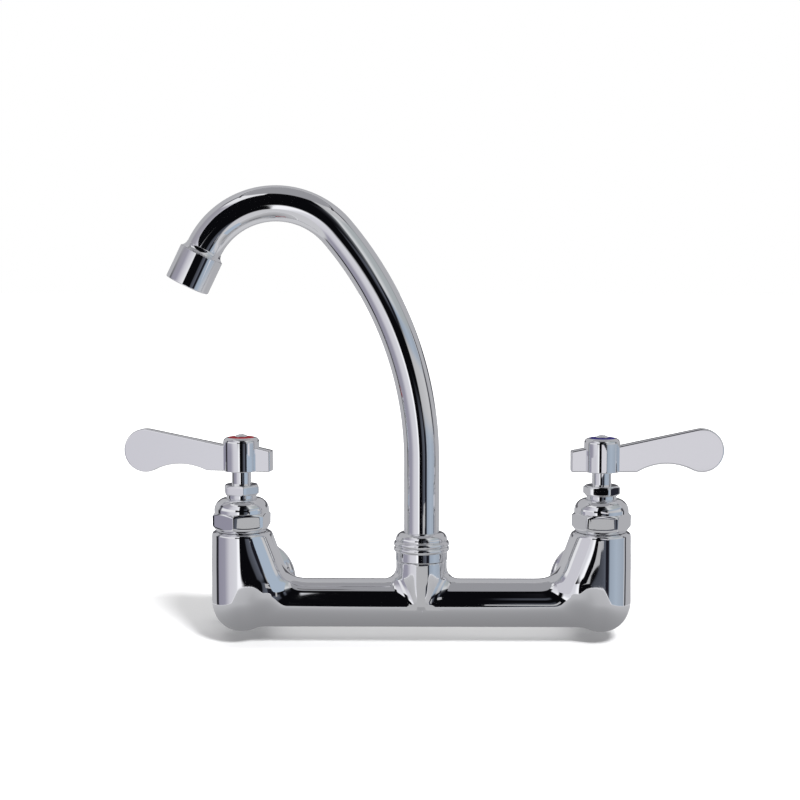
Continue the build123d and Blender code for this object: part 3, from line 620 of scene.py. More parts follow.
def body_distance(x, y, z):
    """How far a point is outside the cast body, in millimetres; inside it is negative."""
    bar_r, neck_r, arm_r, tang_r = 13.75, 14.4, 13.2, 13.15
    top, neck_top, neck_root, arm_end = 41.0, 24.6, 3.0, 23.9
    squareness, far, through = 2.15, 60.0, 200.0
    side = np.abs(x) - VALVE_X["cold"]
    deep = y - VALVE_Y
    # a leg: a slightly barrelled post with a round end, that flares towards the crossbar
    around = np.sqrt(side**2 + deep**2)
    inner = np.clip(-side / np.maximum(around, 6.0), 0.0, 1.0)
    flare = 0.345 * np.clip(top - z, 0.0, 27.3) * soft_step((z + 7.0) / 19.0)
    post_r = 16.85 + 0.24 * soft_step((top - z) / 22.0) + flare * inner**2.2
    below = np.minimum(z - 2.5, 0.0) * 17.2 / 18.9
    leg = (around**squareness + np.abs(below) ** squareness) ** (1 / squareness) - post_r
    bar = np.maximum(np.sqrt(deep**2 + z**2) - bar_r, side)
    arm = np.maximum(np.sqrt(side**2 + z**2) - arm_r, np.maximum(-deep, deep - arm_end))
    # the fillets are large only in the corners, so the fronts stay straight
    corner = 0.6 + (3.4 + 9.0 * soft_step((z + 10.0) / 16.0)) * soft_step((-3.0 - side) / 11.0)
    body = blend(blend(leg, bar, corner), arm, 4.0)
    body = -blend(-body, top - z, 3.2)
    middle = np.sqrt(x**2 + deep**2)
    neck = np.sqrt(middle**2 + np.minimum(z - neck_root, 0.0) ** 2) - neck_r
    # the cosine between the neck's face and the crossbar's sets how far the fillet reaches
    along = deep**2 + z * np.minimum(z - neck_root, 0.0)
    alike = along / np.maximum((neck + neck_r) * np.sqrt(deep**2 + z**2), 1.0)
    body = filleted(body, -blend(-neck, neck_top - z, 0.8), alike, 7.0)
    body = blend(body, np.maximum(middle - tang_r, np.abs(z - 20.0) - 16.0), 0.6)
    # the holes inside: valve seats, inlets, waterway and the neck's bore
    holes = (
        (around - 13.05, z - 24.0, far), (around - 10.95, z - 5.0, far),
        (around - 7.0, z + 9.0, far), (np.sqrt(side**2 + z**2) - 7.0, deep, far),
        (np.sqrt(deep**2 + z**2) - 10.0, -np.abs(x) + 71.6, through),
        (middle - 11.4, z - 5.0, far),
    )
    for wall, into, end in holes:
        hole = np.maximum(wall, np.maximum(-into, into - end))
        body = -blend(-body, hole, 0.5)
    return body


class FAUCET_OT_unions(bpy.types.Operator):
    """Build the wall flanges and the union nuts behind the legs"""

    bl_idname = "faucet.unions"
    bl_label = "Wall unions"

    def execute(self, context):
        edge = sizes().edge_round
        for side in SIDES:
            origin = (VALVE_X[side], 0.0, 0.0)
            flange_r = half_width(f"{side}_wall_flange")
            boss = -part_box(f"{side}_wall_flange")[0].y / MM
            corners = [(9.15, 0.0, 0.4), (flange_r, 0.0, 0.2), (flange_r, 2.5, 0.9)]
            corners += arc_outline((flange_r - 18.31, -13.01), 24.0, 40.3, 67.5, 12)
            corners += [
                (14.5, 9.5, 0.6), (14.5, boss, edge), (10.05, boss, edge), (10.05, 12.0, 0.1),
                (9.15, 12.0, 0.1),
            ]
            flange = turned(
                f"{side}_flange", corners, origin, (0, -1, 0), (1, 0, 0), finish("chrome")
            )
            finish_piece(flange, "fixed", "chrome", f"{side}_wall_flange")
            low, high = (-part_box(f"{side}_union_nut")[i].y / MM for i in (1, 0))
            bottom, top = heights(f"{side}_union_nut")
            flats = (top - bottom) / 2
            corner = flats / math.cos(math.pi / 6) + 0.4
            corners = [
                (9.7, low, 0.2), (flats - 0.2, low, 0.3), (corner, low + 1.6, 0.6),
                (corner, high - 1.6, 0.6), (flats - 0.2, high, 0.3), (13.3, high, 0.2),
                (13.3, low + 3.0, 0.1), (9.7, low + 3.0, 0.1),
            ]
            nut = turned(
                f"{side}_nut_behind", corners, origin, (0, -1, 0), (0, 0, 1), finish("chrome"),
                limit=lambda h, flats=flats: flats, around=180,
            )
            finish_piece(nut, "fixed", "chrome", f"{side}_union_nut")
        return {"FINISHED"}


class FAUCET_OT_bonnets(bpy.types.Operator):
    """Build the hexagonal bonnets with their domes"""

    bl_idname = "faucet.bonnets"
    bl_label = "Bonnets"

    def execute(self, context):
        spins = {"hot": 20.5, "cold": -3.0}
        for side in SIDES:
            low, top = heights(f"{side}_bonnet")
            low += 12.6
            flats, dome_r, dome_round = 14.9, 15.4, 7.0
            hex_high = low + 10.4

            def width(h):
                if h > hex_high - 0.02:
                    return None
                # the flats lean a little, as cast faces do
                return flats - 0.03 * max(0.0, hex_high - h)

            corners = [
                (8.5, low - 0.45, 0.1), (14.1, low - 0.45, 0.2), (17.25, low + 3.0, 0.9),
                (17.25, hex_high - 1.7, 0.7), (15.3, hex_high - 0.05, 0.15),
                (15.3, hex_high, 0.0),
            ]
            corners += [(dome_r, hex_high + 0.15, 0.1)]
            corners += arc_outline((dome_r - dome_round, top - dome_round), dome_round, 0, 90, 18)
            corners += [(8.48, top, 0.05)]
            bonnet = upright(
                f"{side}_bonnet_cap", corners, VALVE_X[side], math.radians(spins[side]),
                limit=width, around=240,
            )
            finish_piece(bonnet, "fixed", "chrome", f"{side}_bonnet")
            dress(f"{side}_cartridge")
        return {"FINISHED"}


class FAUCET_OT_packing_nuts(bpy.types.Operator):
    """Build the small hexagonal nuts that hold the stem packing"""

    bl_idname = "faucet.packing_nuts"
    bl_label = "Packing nuts"

    def execute(self, context):
        spins = {"hot": 43.0, "cold": -13.0}
        for side in SIDES:
            low, high = heights(f"{side}_packing_nut")
            flats, corner = 9.3, 10.85
            corners = [
                (5.65, low, 0.1), (9.0, low, 0.2), (corner, low + 1.3, 0.5),
                (corner, high - 1.3, 0.5), (9.0, high, 0.2), (5.65, high, 0.3),
            ]
            nut = upright(
                f"{side}_packing_cap", corners, VALVE_X[side], math.radians(spins[side]),
                limit=lambda h: flats, around=180,
            )
            finish_piece(nut, "fixed", "chrome", f"{side}_packing_nut")
        return {"FINISHED"}


class FAUCET_OT_levers(bpy.types.Operator):
    """Build the lever handles, each a hub and a blade with a round paddle"""

    bl_idname = "faucet.levers"
    bl_label = "Levers"

    def execute(self, context):
        leans = {"hot": 170.0, "cold": 0.0}
        for side in SIDES:
            x = VALVE_X[side]
            low, high = heights(f"{side}_handle")[0], 94.1
            hub_r, index_r = 10.15, 7.4
            corners = [
                (5.6, low + 0.05, 0.2), (hub_r, low + 0.05, 0.5), (hub_r, high - 2.6, 0.0),
            ]
            corners += arc_outline((hub_r - 2.6, high - 2.6), 2.6, 0, 90, 10)[1:]
            corners += [(index_r, high, 0.05), (index_r, high - 0.75, 0.1), (5.6, high - 0.75, 0.1)]
            hub = upright(f"{side}_lever_hub", corners, x)
            finish_piece(hub, f"{side}_lever", "chrome", f"{side}_handle")
            # side view of the blade: tail, root, paddle and the hollow under it
            reach, paddle_r = 56.2, 12.35
            height, rise = (85.5, 10.4) if side == "hot" else (87.4, 12.25)
            slope, tail_rise = math.radians(rise), math.radians(11.5)
            tail_end, tail_high, bend = -17.6, 86.9, 5.0
            top = (reach - paddle_r * math.sin(slope), height + paddle_r * math.cos(slope))
            root = top[1] - (top[0] - bend) * math.tan(slope)
            tail = tail_high + (-tail_end - bend) * math.tan(tail_rise)
            meet_at = 243.0
            meet = math.radians(meet_at)
            end = np.array((reach + paddle_r * math.cos(meet), height + paddle_r * math.sin(meet)))
            way = np.array((math.sin(meet), -math.cos(meet)))
            start = np.array((19.6, low))
            gap = start - end
            side_way = np.array((-way[1], way[0]))
            arch_r = float(gap @ gap) / (2 * float(gap @ side_way))
            centre = end + side_way * arch_r
            first = math.degrees(math.atan2(*(start - centre)[::-1]))
            last = math.degrees(math.atan2(*(end - centre)[::-1]))
            corners = [(tail_end, low, 0.9), (start[0], low, 1.5)]
            corners += arc_outline(centre, abs(arch_r), first, last, 16)[1:-1]
            corners += arc_outline((reach, height), paddle_r, meet_at - 360.0, 90.0 + rise, 44)
            corners += [(bend, root, 0.3), (-bend, tail, 0.3), (tail_end, tail_high, 0.9)]
            seam = [(tail_end, 80.0, 0.0)]
            outline, facings = turned_outline(seam + corners + seam)
            lean = math.radians(leans[side])
            blade = plate(
                f"{side}_lever_blade",
                outline[:-1],
                facings[:-1],
                lambda r: 8.0 - (r + 17.6) * 3.0 / 86.15,  # 3 mm thinner at the paddle's tip
                sizes().blade_round,
                (x, VALVE_Y, 0.0), (math.cos(lean), math.sin(lean), 0.0),
                finish("chrome"),
            )
            finish_piece(blade, f"{side}_lever", "chrome")
            dress(f"{side}_handle_screw")
            dress(f"{side}_stem")
        return {"FINISHED"}


class FAUCET_OT_index_rings(bpy.types.Operator):
    """Build the red and blue rings in the tops of the levers"""

    bl_idname = "faucet.index_rings"
    bl_label = "Index rings"

    def execute(self, context):
        for side, slot in (("hot", "hot_red"), ("cold", "cold_blue")):
            low, high = heights(f"{side}_index_ring")
            outer = half_width(f"{side}_index_ring")
            corners = [
                (3.75, low, 0.05), (outer, low, 0.05), (outer, high - 0.1, 0.15),
                (outer - 0.3, high, 0.2), (3.75, high, 0.1),
            ]
            ring = upright(f"{side}_index", corners, VALVE_X[side], slot=slot)
            finish_piece(ring, f"{side}_lever", slot, f"{side}_index_ring")
        return {"FINISHED"}


class FAUCET_OT_spout(bpy.types.Operator):
    """Bend the gooseneck tube of the spout"""

    bl_idname = "faucet.spout"
    bl_label = "Spout tube"

    def execute(self, context):
        radius, wall = sizes().spout_radius, 1.2
        tube = swept_tube(
            "spout_gooseneck", spout_path(), radius, wall, finish("chrome"), around=96
        )
        finish_piece(tube, "spout", "chrome", "spout_tube")
        return {"FINISHED"}


def spout_path(reach=4.0):
    """Points (x, z, tangent angle) along the middle of the spout, from its foot to its end."""
    foot, riser_top = heights("spout_tube")[0], 81.0
    path = [(0.0, foot + (riser_top - foot) * k / 10, math.pi / 2) for k in range(10)]
    x, z, angle = 0.0, riser_top, math.pi / 2
    for radius, sweep, steps in ((198.0, 40.3, 30), (44.8, 114.0, 60)):
        centre = (x - radius * math.sin(angle), z + radius * math.cos(angle))
        start = angle
        for k in range(steps + 1):
            angle = start + math.radians(sweep) * k / steps
            x = centre[0] + radius * math.sin(angle)
            z = centre[1] - radius * math.cos(angle)
            if k < steps or radius < 100:
                path.append((x, z, angle))
    for k in (1, 2):
        run = (2.9 + reach) * k / 2
        path.append((x + run * math.cos(angle), z + run * math.sin(angle), angle))
    return path


class FAUCET_OT_spout_nut(bpy.types.Operator):
    """Build the ribbed nut that holds the spout on the neck"""

    bl_idname = "faucet.spout_nut"
    bl_label = "Spout nut"

    def execute(self, context):
        low, top = heights("spout_nut")
        band, rib, crown = 14.75, 15.75, 14.6
        corners = [
            (10.25, low + 13.9, 0.1), (13.3, low + 13.9, 0.1), (13.3, low + 0.1, 0.2),
            (band, low + 0.1, 0.35), (band, low + 5.1, 0.25),
        ]
        for k in range(2):
            base = low + 5.1 + 2.9 * k
            corners += arc_outline((band - 0.9, base + 1.45), rib - band + 0.9, -50.0, 50.0, 10)
            corners += [(band - 0.15, base + 2.9, 0.25)]
        corners = corners[:-1] + [(band - 0.3, low + 10.9, 0.3)]
        corners += arc_outline((crown - 4.2, top - 4.2), 4.2, 0.0, 82.0, 14)
        corners += [(10.25, top, 0.25)]
        nut = upright("spout_ring_nut", corners, around=160)
        finish_piece(nut, "fixed", "chrome", "spout_nut")
        return {"FINISHED"}


class FAUCET_OT_aerator(bpy.types.Operator):
    """Build the flared end of the spout and the aerator on it"""

    bl_idname = "faucet.aerator"
    bl_label = "Aerator"

    def execute(self, context):
        x, z, angle = spout_path(0.0)[-1]
        down = (math.cos(angle), 0.0, math.sin(angle))
        side_way = (0.0, -1.0, 0.0)
        origin = (x, VALVE_Y, z)
        radius, length = 12.5, 19.4
        shell = turned(
            "aerator_sleeve",
            [
                (11.05, 0.0, 0.1), (11.05, 11.0, 0.1), (10.6, 11.25, 0.1),
                (10.6, length - 1.4, 0.1), (9.9, length - 1.4, 0.1), (9.9, length, 0.3),
                (radius, length, 0.55), (radius, 0.0, 0.35),
            ],
            origin, down, side_way, finish("chrome"), around=160,
        )
        finish_piece(shell, "spout", "chrome", "aerator_shell")
        flare = [(10.02, -3.5, 0.05), (10.02, -0.05, 0.05), (12.0, -0.05, 0.1)]
        flare += arc_outline((14.35, -3.6), 4.2, 122.0, 178.0, 8)
        collar = turned(
            "outlet_collar", flare, origin, down, side_way, finish("chrome"), around=160
        )
        finish_piece(collar, "spout", "chrome", "outlet_adaptor")
        dress("aerator_insert")
        dress("aerator_screen")
        dress("aerator_gasket")
        return {"FINISHED"}


class FAUCET_OT_inner_pieces(bpy.types.Operator):
    """Give the inner pieces of the valves and the spout their finishes"""

    bl_idname = "faucet.inner_pieces"
    bl_label = "Inner pieces"

    def execute(self, context):
        names = ["spout_ferrule", "spout_o_rings", "thrust_washer"]
        for side in SIDES:
            for piece in (
                "inlet_shank", "inlet_gasket", "seat_seal", "fixed_disc", "moving_disc",
                "stem_o_ring", "packing_ring",
            ):
                names.append(f"{side}_{piece}")
        for name in names:
            dress(name)
        return {"FINISHED"}


# ---- studio -------------------------------------------------------------------------------
# what the chrome sees all round: bearing from the camera's side (right is plus) in degrees,
# and the colour of the tent there, low down and higher up
LOW_BANDS = (
    (-180.0, (0.46, 0.46, 0.48)), (-105.0, (0.48, 0.48, 0.50)), (-102.5, (0.02, 0.02, 0.025)),
    (-93.0, (0.02, 0.02, 0.025)), (-90.5, (0.30, 0.29, 0.36)), (-66.0, (0.34, 0.33, 0.40)),
    (-48.0, (0.66, 0.65, 0.70)), (-24.0, (0.74, 0.74, 0.78)), (-18.5, (1.05, 1.05, 1.08)),
    (-14.0, (1.05, 1.05, 1.08)), (-13.0, (0.003, 0.003, 0.004)), (5.5, (0.003, 0.003, 0.004)),
    (8.0, (0.06, 0.065, 0.08)), (21.0, (0.11, 0.12, 0.15)), (23.0, (0.01, 0.01, 0.015)),
    (33.0, (0.012, 0.012, 0.018)), (37.5, (0.34, 0.40, 0.48)), (60.0, (0.42, 0.49, 0.58)),
    (91.0, (0.36, 0.41, 0.48)), (93.0, (0.95, 0.95, 0.97)), (95.0, (0.02, 0.02, 0.03)),
    (100.0, (0.02, 0.02, 0.03)), (103.0, (0.46, 0.46, 0.48)), (180.0, (0.46, 0.46, 0.48)),
)
HIGH_BANDS = (
    (-180.0, (0.50, 0.50, 0.52)), (-103.0, (0.50, 0.50, 0.52)), (-97.0, (0.10, 0.10, 0.12)),
    (-91.0, (0.10, 0.10, 0.12)), (-86.0, (0.86, 0.86, 0.88)), (-33.0, (0.86, 0.86, 0.88)),
    (-29.5, (0.90, 0.90, 0.92)), (-28.5, (0.003, 0.003, 0.004)), (28.0, (0.003, 0.003, 0.004)),
    (32.0, (0.52, 0.52, 0.53)), (86.0, (0.62, 0.62, 0.63)), (91.0, (0.06, 0.06, 0.07)),
    (97.0, (0.06, 0.06, 0.07)), (103.0, (0.46, 0.46, 0.48)), (180.0, (0.50, 0.50, 0.52)),
)
# outlines of the grey card close before the neck and of the black one before the spout's
# bend: across and up, in millimetres
NECK_CARD = (
    (-13.0, -8.8), (13.0, -8.8), (9.0, -5.0), (6.5, 1.0), (7.5, 8.5), (11.5, 12.0),
    (11.5, 22.2), (-8.5, 22.2), (-8.5, 9.0), (-7.0, 1.0), (-9.5, -4.5),
)
BEND_CARD = (
    (-58, 222), (-95, 222), (-143, 205), (-175, 226), (-206, 250),
    (-218, 270), (-235, 330), (-205, 430), (-88, 420), (-58, 420),
)
# what the spout's bend mirrors, above the other bands
ARCH_BANDS = (
    (-180.0, (0.46, 0.46, 0.48)), (-105.0, (0.48, 0.48, 0.50)), (-90.5, (0.34, 0.33, 0.37)),
    (-66.0, (0.38, 0.37, 0.42)), (-48.0, (0.66, 0.65, 0.70)), (-18.5, (0.86, 0.86, 0.90)),
    (-14.0, (0.80, 0.80, 0.84)), (-13.0, (0.003, 0.003, 0.004)), (8.0, (0.003, 0.003, 0.004)),
    (20.0, (0.02, 0.02, 0.025)), (30.0, (0.16, 0.17, 0.18)), (36.0, (0.72, 0.73, 0.74)),
    (46.0, (0.62, 0.64, 0.65)), (60.0, (0.44, 0.47, 0.48)), (92.0, (0.42, 0.45, 0.46)),
    (98.0, (0.30, 0.31, 0.32)), (103.0, (0.46, 0.46, 0.48)), (180.0, (0.46, 0.46, 0.48)),
)
# along the grey card on the floor: share of the way from the legs to its rim, and its grey; the
# darker greys by the legs are painted shade, where the faucet shades the floor, and the near-white
# at the rim is a painted light line
CARD_PAINTED_SHADE_TONES = ((0.0, 0.26), (0.30, 0.36), (0.62, 0.48), (0.97, 0.54), (0.98, 0.92), (1.0, 0.92))


def ramp_of(tree, value, stops):
    """The colour that a ramp gives a value, from its stops of place and colour."""
    ramp = add_node(tree, "ShaderNodeValToRGB", {"Fac": value})
    bands = ramp.color_ramp
    bands.elements.remove(bands.elements[-1])
    for i, (at, colour) in enumerate(stops):
        stop = bands.elements[0] if i == 0 else bands.elements.new(at)
        stop.position = at
        stop.color = (*colour, 1.0)
    return ramp.outputs["Color"]


def glow_material(name, colour):
    """A material that only glows; colour is plain, or a function that wires it up."""
    material, tree = new_material(name)
    tree.nodes.clear()
    tone = colour(tree) if callable(colour) else colour
    glow = add_node(tree, "ShaderNodeEmission", {"Color": tone})
    add_node(tree, "ShaderNodeOutputMaterial", {"Surface": glow.outputs[0]})
    return material


def split_up(tree, value):
    """The three parts of a place."""
    return add_node(tree, "ShaderNodeSeparateXYZ", {0: value}).outputs


def tent_colour(tree):
    """Cards, gaps and screens all round, as the chrome sees them; the roof is grey."""
    place = split_up(tree, own_place(tree))
    bearing = maths(tree, "ARCTAN2", place["X"], maths(tree, "MULTIPLY", place["Y"], -1.0))
    part = spread(tree, bearing, come=(-math.pi, math.pi))
    low_bands, high_bands, arch_bands = (
        ramp_of(tree, part, [(at / 360.0 + 0.5, colour) for at, colour in bands])
        for bands in (LOW_BANDS, HIGH_BANDS, ARCH_BANDS)
    )
    # from the bottom up, in metres from the inlets' height: a pale floor, then the bands
    wall = (0.62, 0.62, 0.64)
    for start, full, colour in (
        (-0.27, -0.18, low_bands), (0.045, 0.13, high_bands), (0.22, 0.30, low_bands),
        (0.33, 0.40, arch_bands), (0.75, 0.90, high_bands), (1.25, 1.40, (0.33, 0.33, 0.35)),
    ):
        share = spread(tree, place["Z"], come=(start, full), way="SMOOTHSTEP")
        wall = mixed(tree, share, wall, colour)
    return wall


def floor_card_painted_shade(tree):
    """The pale card on the floor that the chrome mirrors: painted shade makes it darker by the legs,
    and a painted light line makes it white at its rim.
    """
    place = split_up(tree, add_node(tree, "ShaderNodeUVMap").outputs["UV"])
    return ramp_of(tree, place["X"], [(at, (tone, tone, tone * 1.03)) for at, tone in CARD_PAINTED_SHADE_TONES])


def flat_card(name, points, tone, tone_name=None):
    """A flat card of one tone; points go round its rim."""
    material = glow_material(tone_name or f"{name}_tone", tone)
    return mesh_object(name, points, [tuple(range(len(points)))], material=material)


def floor_card(ground):
    """The card round the faucet's foot, that reaches furthest in front of each leg."""
    steps, reach, beside, ahead, between = 200, VALVE_X["cold"], 75.0, 160.0, 115.0
    shares = (0.0, 0.15, 0.3, 0.46, 0.62, 0.8, 0.97, 0.98, 1.0)
    points, marks = [], []
    for share in shares:
        for j in range(steps):
            turn = 2 * math.pi * j / steps
            x = (reach + beside) * math.sin(turn)
            past = abs(x) - reach
            if past > 0:
                y = ahead * math.sqrt(max(0.0, 1.0 - (past / beside) ** 2))
            else:
                y = between + (ahead - between) * math.exp(-((past / 38.0) ** 2))
            y *= math.cos(turn) / max(0.35, abs(math.cos(turn))) if past < 0 else 1.0
            y = abs(y) * (1.0 if math.cos(turn) > 0 else -0.5)
            root = (max(-reach, min(reach, x)), 0.0)
            points.append((root[0] + (x - root[0]) * share, VALVE_Y - y * share, ground))
            marks.append(share)
    # its glow is painted shade by the legs and a painted light line at its rim
    material = glow_material("floor_card", floor_card_painted_shade)
    card = mesh_object("floor_card", points, grid_faces(len(shares), steps), material=material)
    layer = card.data.uv_layers.new(name="card")
    for loop in card.data.loops:
        layer.data[loop.index].uv = (marks[loop.vertex_index], 0.0)
    return card


def hexagon_card(side, turn):
    """A grey card before a bonnet, where the flat that faces the camera mirrors it."""
    away, half, low, high = 300.0, 28.0, -9.0, 11.0
    turn = math.radians(turn)
    across = np.array((math.cos(turn), math.sin(turn)))
    centre = np.array((VALVE_X[side], VALVE_Y)) + away * np.array((math.sin(turn), -math.cos(turn)))
    left, right = centre - across * half, centre + across * half
    points = [(*left, low), (*right, low), (*right, high), (*left, high)]
    return flat_card(f"{side}_hexagon_card", points, (0.48, 0.48, 0.49), f"{side}_hexagon_tone")


def back_strip(name, radius, low, high, grey, half=70):
    """A dark strip across the back of the tent, between two heights in millimetres."""
    turns = [math.radians(a) for a in range(90 - half, 91 + half, 5)]
    rim = [(radius * math.cos(t), VALVE_Y + radius * math.sin(t)) for t in turns]
    points = [(*at, h) for h in (low, high) for at in rim]
    faces = [(j, j + 1, j + 1 + len(turns), j + len(turns)) for j in range(len(turns) - 1)]
    material = glow_material(f"{name}_tone", (grey, grey, grey * 1.1))
    return mesh_object(name, points, faces, material=material)


def straight_rays(tree):
    """1 for what the camera sees, straight, mirrored or through glass, and 0 for soft light."""
    rays = add_node(tree, "ShaderNodeLightPath").outputs
    glossy = maths(tree, "MAXIMUM", rays["Is Camera Ray"], rays["Is Glossy Ray"])
    return maths(tree, "MAXIMUM", glossy, rays["Is Transmission Ray"])


def floor_material():
    """A plain pale floor that keeps the shadow and whitens away from the faucet and behind it."""
    material, tree = new_material("pale_floor")
    place = own_place(tree)
    away = add_node(tree, "ShaderNodeVectorMath", {0: place}, operation="LENGTH").outputs["Value"]
    # away from the lamps the paper is as white as beside the faucet
    fade = spread(tree, away, come=(0.25, 0.9), go=(0.05, 1.0), way="SMOOTHSTEP")
    behind = spread(tree, split_up(tree, place)["Y"], come=(0.05, 0.13), way="SMOOTHSTEP")
    whiter = maths(tree, "MAXIMUM", fade, behind)
    paper = noise(tree, 40.0, 2.0)
    shade(tree, {
        "Roughness": 0.9,
        "Specular IOR Level": 0.0,
        "Base Color": mixed(tree, paper, (0.795, 0.795, 0.80), (0.805, 0.805, 0.81)),
        "Emission Color": (1.0, 1.0, 1.0),
        "Emission Strength": maths(tree, "MULTIPLY", straight_rays(tree), whiter),
    })
    return material


def only_for_reflections(piece):
    """The camera, the shadows and the soft light don't see this piece."""
    piece.visible_camera = False
    piece.visible_diffuse = False
    piece.visible_shadow = False
    piece.visible_transmission = False
    piece.visible_volume_scatter = False


def area_lamp(name, place, target, size, power):
    """A soft lamp that lights the floor and the pieces but isn't mirrored in the chrome."""
    lamp = bpy.data.lights.new(name, "AREA")
    lamp.shape = "DISK"
    lamp.size = size
    lamp.energy = power
    piece = bpy.data.objects.new(name, lamp)
    piece.location = place
    piece.rotation_euler = (Vector(target) - Vector(place)).to_track_quat("-Z", "Y").to_euler()
    piece.visible_glossy = False
    bpy.context.scene.collection.objects.link(piece)
    return piece


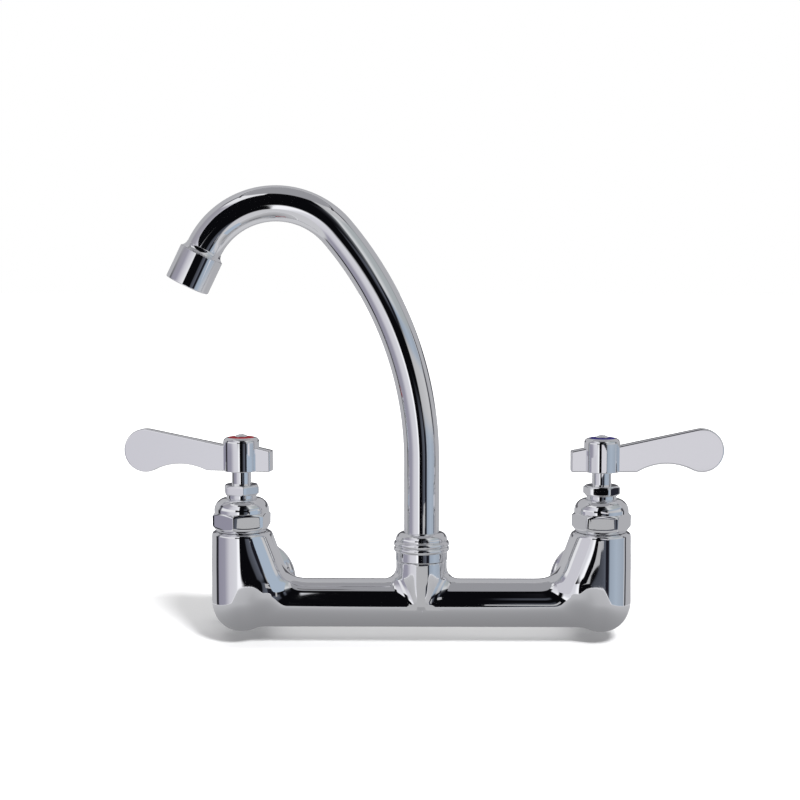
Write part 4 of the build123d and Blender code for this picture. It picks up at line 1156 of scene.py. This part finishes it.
class FAUCET_OT_studio(bpy.types.Operator):
    """Set up the floor, the tent of cards, the lamps and the camera"""

    bl_idname = "faucet.studio"
    bl_label = "Studio"

    def execute(self, context):
        studio = context.scene.faucet_studio
        ground, far = CAD_BOX[0].z / MM - 0.2, 9e3
        floor = mesh_object(
            "floor",
            [(x, y, ground) for x, y in ((-far, -far), (far, -far), (far, far), (-far, far))],
            [(0, 1, 2, 3)],
            material=floor_material(),
        )
        floor.visible_glossy = False
        # the tent: a round wall with a domed roof, that goes on below the floor
        radius = studio.tent_radius / MM
        foot, wall_top, dome, around = -330.0, 1350.0, 200.0, 180
        rows = [(60.0, foot), (radius, foot), (radius, 400.0), (radius, wall_top)]
        for tilt in (math.radians(a) for a in range(10, 90, 10)):
            rows.append((radius * math.cos(tilt), wall_top + dome * math.sin(tilt)))
        ring = [2 * math.pi * j / around for j in range(around)]
        points = [(r * math.cos(t), r * math.sin(t), h) for r, h in rows for t in ring]
        faces = grid_faces(len(rows), around)
        faces.append(tuple(range((len(rows) - 1) * around, len(rows) * around)))
        faces.append(tuple(range(around)))
        material = glow_material("tent_wall", tent_colour)
        tent = mesh_object("tent", points, faces, material=material)
        tent.location = (0.0, VALVE_Y * MM, 0.0)
        # this one points at the spout, so only the cold lever mirrors its face
        rim = ((112, 58), (305, 35), (305, 68), (112, 90))
        points = [(0.782 * ahead, VALVE_Y - ahead, z) for ahead, z in rim]
        blade_card = flat_card("blade_card", points, (0.72, 0.71, 0.75))
        points = [(x, VALVE_Y - 28.0, z) for x, z in NECK_CARD]
        neck_card = flat_card("neck_card", points, (0.48, 0.48, 0.49))
        # a black card that leans back over the spout's bend
        points = [(x, VALVE_Y - 65.0 - 0.343 * (z - 226.0), z) for x, z in BEND_CARD]
        bend_card = flat_card("bend_card", points, (0.003, 0.003, 0.004))
        # two cards back to back, edge on to the spout: the legs' inner flares mirror them
        rim = ((32, -20), (122, -20), (122, 75), (32, 75))
        tones = (("hot", -0.01, (0.42, 0.50, 0.60)), ("cold", 0.01, (0.64, 0.63, 0.68)))
        flare_cards = []
        for side, x, tone in tones:
            points = [(x + 0.0122 * ahead, VALVE_Y - ahead, z) for ahead, z in rim]
            card = flat_card(f"{side}_flare_card", points, tone, f"{side}_flare_tone")
            flare_cards.append(card)
        cards = (
            *flare_cards,
            tent,
            neck_card,
            bend_card,
            floor_card(heights("body_casting")[0] - 0.3),
            blade_card,
            *(hexagon_card(side, turn) for side, turn in (("hot", 33.9), ("cold", -0.2))),
            back_strip("tent_seam", radius - 2.0, 1150.0, 1225.0, 0.06, half=100),
            back_strip("tent_rail", radius - 2.0, 105.0, 225.0, 0.10, half=40),
        )
        for piece in cards:
            only_for_reflections(piece)
        area_lamp("key_lamp", (0.30, -1.00, 0.66), (0.0, -0.05, 0.0), 0.22, 22.0)
        area_lamp("top_lamp", (0.0, -0.05, 1.3), (0.0, -0.05, 0.0), 1.2, 7.0)
        self.light_world(context)
        self.place_camera(context, studio)
        return {"FINISHED"}

    def light_world(self, context):
        """White all round for the camera and for gloss, and a soft fill for the rest."""
        world = context.scene.world or bpy.data.worlds.new("studio")
        context.scene.world = world
        world.use_nodes = True
        tree = world.node_tree
        tree.nodes.clear()
        strength = spread(tree, straight_rays(tree), go=(0.45, 1.0))
        inputs = {"Color": (1.0, 1.0, 1.0), "Strength": strength}
        sky = add_node(tree, "ShaderNodeBackground", inputs)
        add_node(tree, "ShaderNodeOutputWorld", {"Surface": sky.outputs[0]})

    def place_camera(self, context, studio):
        """The camera at the photograph's viewing angle."""
        lens = bpy.data.cameras.new("camera")
        lens.lens = studio.lens
        lens.sensor_width = 36.0
        lens.shift_x = studio.shift
        lens.clip_start, lens.clip_end = 0.05, 50.0
        camera = bpy.data.objects.new("camera", lens)
        pitch = studio.camera_pitch
        back = Vector((0.0, -math.cos(pitch), math.sin(pitch))) * studio.camera_distance
        camera.location = Vector(studio.camera_target) + back
        turn = Matrix.Rotation(math.pi / 2 - pitch, 3, "X")
        camera.rotation_euler = (turn @ Matrix.Rotation(studio.camera_roll, 3, "Z")).to_euler()
        context.scene.collection.objects.link(camera)
        context.scene.camera = camera
        context.scene.view_settings.view_transform = "Standard"


class FAUCET_PT_sidebar(bpy.types.Panel):
    """The faucet's pieces and settings in the sidebar"""

    bl_idname = "FAUCET_PT_sidebar"
    bl_label = "Wall Faucet"
    bl_space_type = "VIEW_3D"
    bl_region_type = "UI"
    bl_category = "Faucet"

    def draw(self, context):
        for operator in OPERATORS:
            self.layout.operator(operator.bl_idname)
        for group in (
            context.scene.faucet_sizes, context.scene.faucet_colours, context.scene.faucet_studio
        ):
            column = self.layout.column()
            for name in type(group).__annotations__:
                column.prop(group, name)


GROUPS = (FaucetSizes, FaucetColours, FaucetStudio)
OPERATORS = (
    FAUCET_OT_body,
    FAUCET_OT_unions,
    FAUCET_OT_bonnets,
    FAUCET_OT_packing_nuts,
    FAUCET_OT_levers,
    FAUCET_OT_index_rings,
    FAUCET_OT_spout,
    FAUCET_OT_spout_nut,
    FAUCET_OT_aerator,
    FAUCET_OT_inner_pieces,
    FAUCET_OT_studio,
)
CLASSES = GROUPS + OPERATORS + (FAUCET_PT_sidebar,)


def register():
    for cls in CLASSES:
        bpy.utils.register_class(cls)
    bpy.types.Scene.faucet_sizes = bpy.props.PointerProperty(type=FaucetSizes)
    bpy.types.Scene.faucet_colours = bpy.props.PointerProperty(type=FaucetColours)
    bpy.types.Scene.faucet_studio = bpy.props.PointerProperty(type=FaucetStudio)


def unregister():
    del bpy.types.Scene.faucet_studio
    del bpy.types.Scene.faucet_colours
    del bpy.types.Scene.faucet_sizes
    for cls in reversed(CLASSES):
        bpy.utils.unregister_class(cls)


def main():
    register()
    bpy.ops.faucet.body()
    bpy.ops.faucet.unions()
    bpy.ops.faucet.bonnets()
    bpy.ops.faucet.packing_nuts()
    bpy.ops.faucet.levers()
    bpy.ops.faucet.index_rings()
    bpy.ops.faucet.spout()
    bpy.ops.faucet.spout_nut()
    bpy.ops.faucet.aerator()
    bpy.ops.faucet.inner_pieces()
    bpy.ops.faucet.studio()


if __name__ == "__main__":
    main()
